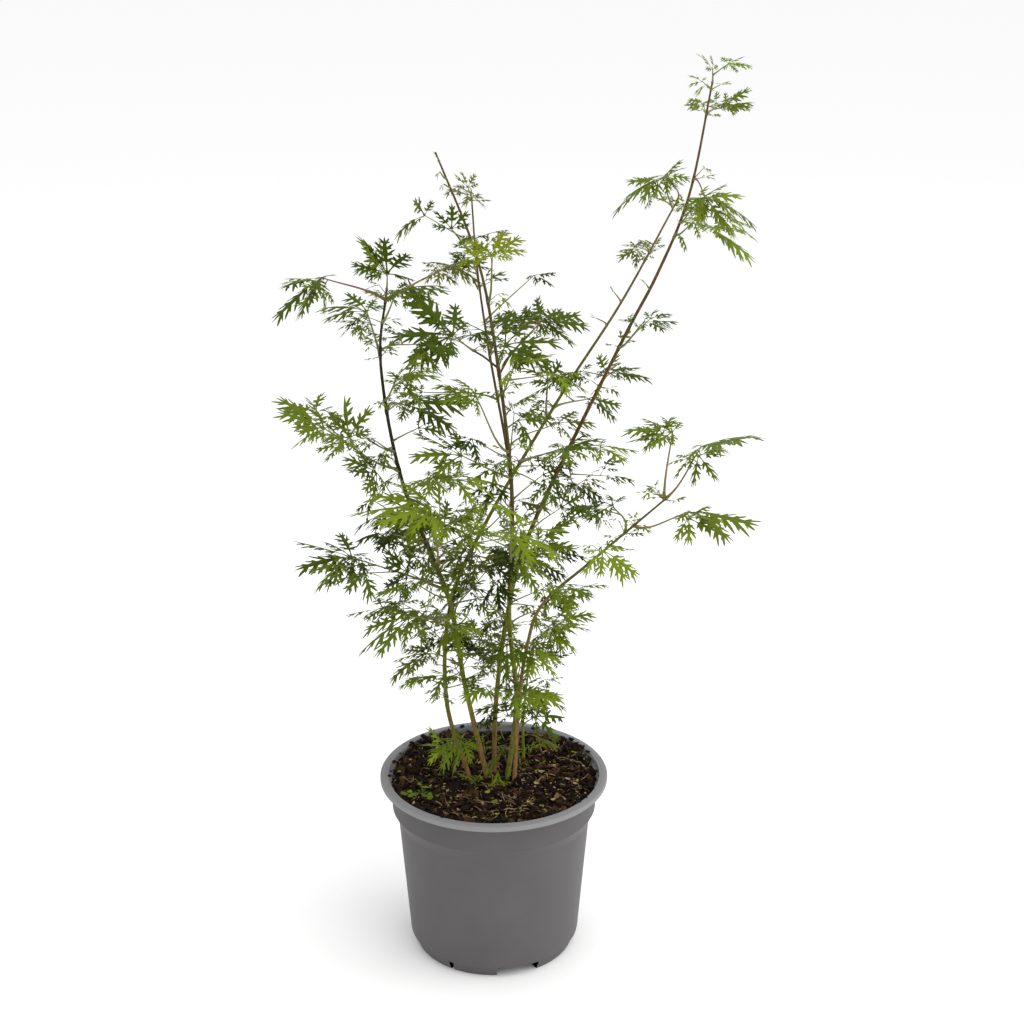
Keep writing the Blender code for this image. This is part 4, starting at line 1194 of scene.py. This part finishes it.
for name, limb in grown.items():
    count = max(4, round(limb["lengths"][-1] / (growth["step"] * mm)))
    swells = [mass[1] for mass in masses[name]]
    swells += [facts["at"] for facts in limbs.values() if facts.get("carrier") == name]
    points = []
    radii = []
    for index in range(count + 1):
        share = index / count
        points.append(limbAt(limb, share)[0])
        radius = limbRadius(limb, share)
        for swell in swells:
            gap = (share - swell) * limb["lengths"][-1] / (growth["nodeLength"] * mm)
            radius *= 1 + growth["nodeSwell"] * math.exp(-gap * gap)
        radii.append(radius)
    mesh = tubes([(points, radii)], 3)
    for vert in mesh.vertices:
        ridge = noise.noise(Vector([part * scale for part, scale in zip(vert.co, growth["ridges"])]))
        ripple = noise.noise(vert.co * growth["ripples"])
        relieved = ridge + growth["rippleShare"] * ripple
        vert.co += vert.normal * limbRadius(limb, 0.5) * growth["barkRough"] * relieved
    foot, middle, top, footEnd, topStart = caneTones[limb["facts"]["tones"]]
    finish, tree, shader = newFinish("bark_" + name, middle, 0.62, 0.12)
    fade = addGroup(tree, caneFade, Foot=(*foot, 1), Middle=(*middle, 1), Top=(*top, 1),
                    Foot_End=footEnd, Top_Start=topStart)
    streaks = addGroup(tree, mottle, First=(1, 1, 1, 1), Second=(0.62, 0.6, 0.58, 1), Scale=700.0,
                       Stretch=(1, 1, 0.12), Edge=0.12)
    tree.links.new(mixed(tree, 1.0, fade.outputs["Colour"], streaks.outputs["Colour"], "MULTIPLY"),
                   shader.inputs["Base Color"])
    tree.links.new(mapped(tree, streaks.outputs["Mask"], 0, 1, 0.55, 0.72), shader.inputs["Roughness"])
    addRelief(tree, shader, Scale=900.0, Stretch=(1, 1, 0.18), Strength=0.5, Distance=0.0003)
    newPiece("bark_" + name, mesh, finish, [name])
print("canes made")


# seedlings, sprouts and leaf flakes on the soil

sprouts = [
    # x, y in millimetres, height, leaf reach, leaves, tone
    (-58, -33, 4, 6, 4, "middle"), (-57, -14, 3, 8, 2, "bright"), (-16, -8, 5, 9, 4, "bright"),
    (-1, -12, 6, 7, 3, "yellow"), (6, -10, 7, 7, 3, "yellow"), (-22, -4, 5, 8, 3, "bright"),
    (22, 20, 8, 9, 4, "middle"), (-8, 40, 10, 12, 4, "middle"), (30, 40, 9, 11, 4, "bright"),
    (40, 23, 2, 5, 2, "yellow"), (84, 40, 4, 8, 2, "yellow"), (-30, 45, 8, 10, 4, "middle"),
    (9, 66, 12, 9, 3, "middle"), (35, -40, 2, 5, 2, "yellow"), (48, 5, 2, 5, 2, "yellow"),
]
sproutFacts = {
    "seed": 33,
    "rim": 0.004,  # kept free inside the lip
    "bend": 0.0006,
    "radii": (0.5 * mm, 0.4 * mm, 0.3 * mm),
}
sproutDice = random.Random(sproutFacts["seed"])
sproutBlades = {"bright": [], "middle": [], "yellow": []}
sproutRuns = []
for x, y, high, reach, count, tone in sprouts:
    base = Vector((x * mm, y * mm, soilHeight(x * mm, y * mm)))
    limit = soil["radius"] - sproutFacts["rim"]
    if base.xy.length > limit:
        base.xy = base.xy * (limit / base.xy.length)
    for number in range(count):
        azimuth = 360 * number / count + sproutDice.uniform(-30, 30)
        top = base + heading(azimuth, sproutDice.uniform(30, 80)) * high * sproutDice.uniform(0.7, 1.2) * mm
        bent = base.lerp(top, 0.5) + Vector((0, 0, sproutFacts["bend"]))
        sproutRuns.append(([base, bent, top], sproutFacts["radii"]))
        sproutBlades[tone].append(bladeMatrix(top, azimuth, sproutDice.uniform(0, 35), 0, reach * mm))
for tone, places in sproutBlades.items():
    title = tone.capitalize()
    mesh = strewn(sproutDice, leafTemplates["tiny"], places)
    mesh.shade_smooth()
    newPiece("sprouts" + title, mesh, bpy.data.materials["leaf" + title])
newPiece("sproutStalks", tubes(sproutRuns, 1), bpy.data.materials["stalkGreen"])

flakes = {
    "count": 45,  # of each tone
    "width": 0.4,  # of the length
    "size": (1.5, 5.0),  # millimetres
    "lift": 0.0025,
    "bitLift": 0.0032,  # of the bits that are placed one by one
    "bitRim": 0.004,
    "bitSeed": 5,
}


def flakeTemplate():
    # a shed leaflet: a bent oval
    bm = bmesh.new()
    bmesh.ops.create_circle(bm, cap_ends=True, cap_tris=True, segments=10, radius=0.5)
    for vert in bm.verts:
        vert.co.z = 0.5 * vert.co.x ** 2 + dice.uniform(-0.04, 0.04)
        vert.co.y *= flakes["width"] * (1 - 0.5 * vert.co.x)
    return meshFrom(bm, "flake")


flakeTemplates = [flakeTemplate() for count in range(4)]
flakeTones = {
    "flakesYellow": (0.3, 0.3, 0.045),
    "flakesGreen": (0.13, 0.17, 0.02),
    "flakesPale": (0.42, 0.3, 0.15),
}
for name, colour in flakeTones.items():
    places = []
    for count in range(flakes["count"]):
        x, y = onSoil(0.95)
        size = dice.uniform(*flakes["size"]) * mm
        spot = (x, y, soilHeight(x, y) + flakes["lift"])
        places.append(placed(dice.uniform(0, 6.28), dice.gauss(0, 0.5), "X", spot, (size, size, size)))
    mesh = strewn(dice, flakeTemplates, places)
    finish = mottledFinish(name, colour, tuple(0.6 * part for part in colour), (0.6, 0.7), 500.0, 0.15,
                           0.3, 0.0002, 1500.0)
    newPiece(name, mesh, finish)

placedBits = [
    # round seed leaves and the larger bits near the front: x, y, length and width in millimetres, turn in
    # degrees, material
    (-73, -35, 7, 5, 160, "leafMiddle"), (-68, -40, 7, 5, 255, "leafMiddle"),
    (-64, -35, 7, 5, 20, "leafMiddle"), (-69, -32, 6, 4.5, 80, "leafBright"),
    (-56, -37, 7, 5, 170, "leafMiddle"), (-52, -42, 7, 5, 260, "leafMiddle"),
    (-47, -38, 7, 5, 10, "leafMiddle"), (-52, -34, 6, 4.5, 95, "leafBright"),
    (-57, -22, 14, 3.5, -25, "leafBright"), (-5, -29, 7, 4, 60, "flakesYellow"),
    (40, 8, 6, 4, 20, "flakesYellow"), (44, -36, 5, 4, 110, "flakesYellow"),
    (1, -48, 6, 5, 50, "flakesGreen"), (30, -48, 7, 3, 150, "flakesPale"),
    (49, -44, 5, 3, 30, "flakesPale"), (36, -15, 6, 3, -30, "flakesPale"),
    (52, -38, 7, 4, 75, "chipsOchre"), (83, 27, 8, 3, 100, "flakesYellow"),
    (-71, 12, 5, 3, 80, "flakesPale"), (-30, -38, 5, 3, 10, "flakesYellow"),
    (62, -8, 5, 3, 140, "flakesPale"),
]
stubs = [
    # green shoot bases at the cane feet: points in millimetres with the radius at each
    ((-3, -17, 150.5, 1.3), (1, -12, 153, 1.2), (3, -7, 158, 0.7)),
    ((9, -14, 150.5, 1.2), (5, -10, 153, 1.0), (3, -6, 160, 0.5)),
    ((10, -6, 150, 1.3), (12, -5, 156, 1.1), (13.5, -4.5, 163, 0.7)),
    ((-9, -6, 150, 1.2), (-10, -8, 153, 1.1), (-12, -9, 157, 0.6)),
]
bitDice = random.Random(flakes["bitSeed"])
bitPlaces = {}
for x, y, length, width, turn, material in placedBits:
    height = soilHeight(x * mm, y * mm) + flakes["bitLift"]
    spot = heldIn(Vector((x * mm, y * mm, height)), flakes["bitRim"])
    shape = (length * mm, width / flakes["width"] * mm, length * mm)
    place = placed(math.radians(turn), bitDice.uniform(-0.3, 0.1), "Y", spot, shape)
    bitPlaces.setdefault(material, []).append(place)
for material, places in bitPlaces.items():
    mesh = strewn(bitDice, flakeTemplates, places)
    title = material[0].upper() + material[1:]
    newPiece("bits" + title, mesh, bpy.data.materials[material])
stubRuns = [([Vector(point[:3]) * mm for point in run], [point[3] * mm for point in run]) for run in stubs]
newPiece("shootStubs", tubes(stubRuns, 2), bpy.data.materials["leafBright"])
print("sprouts and flakes made")
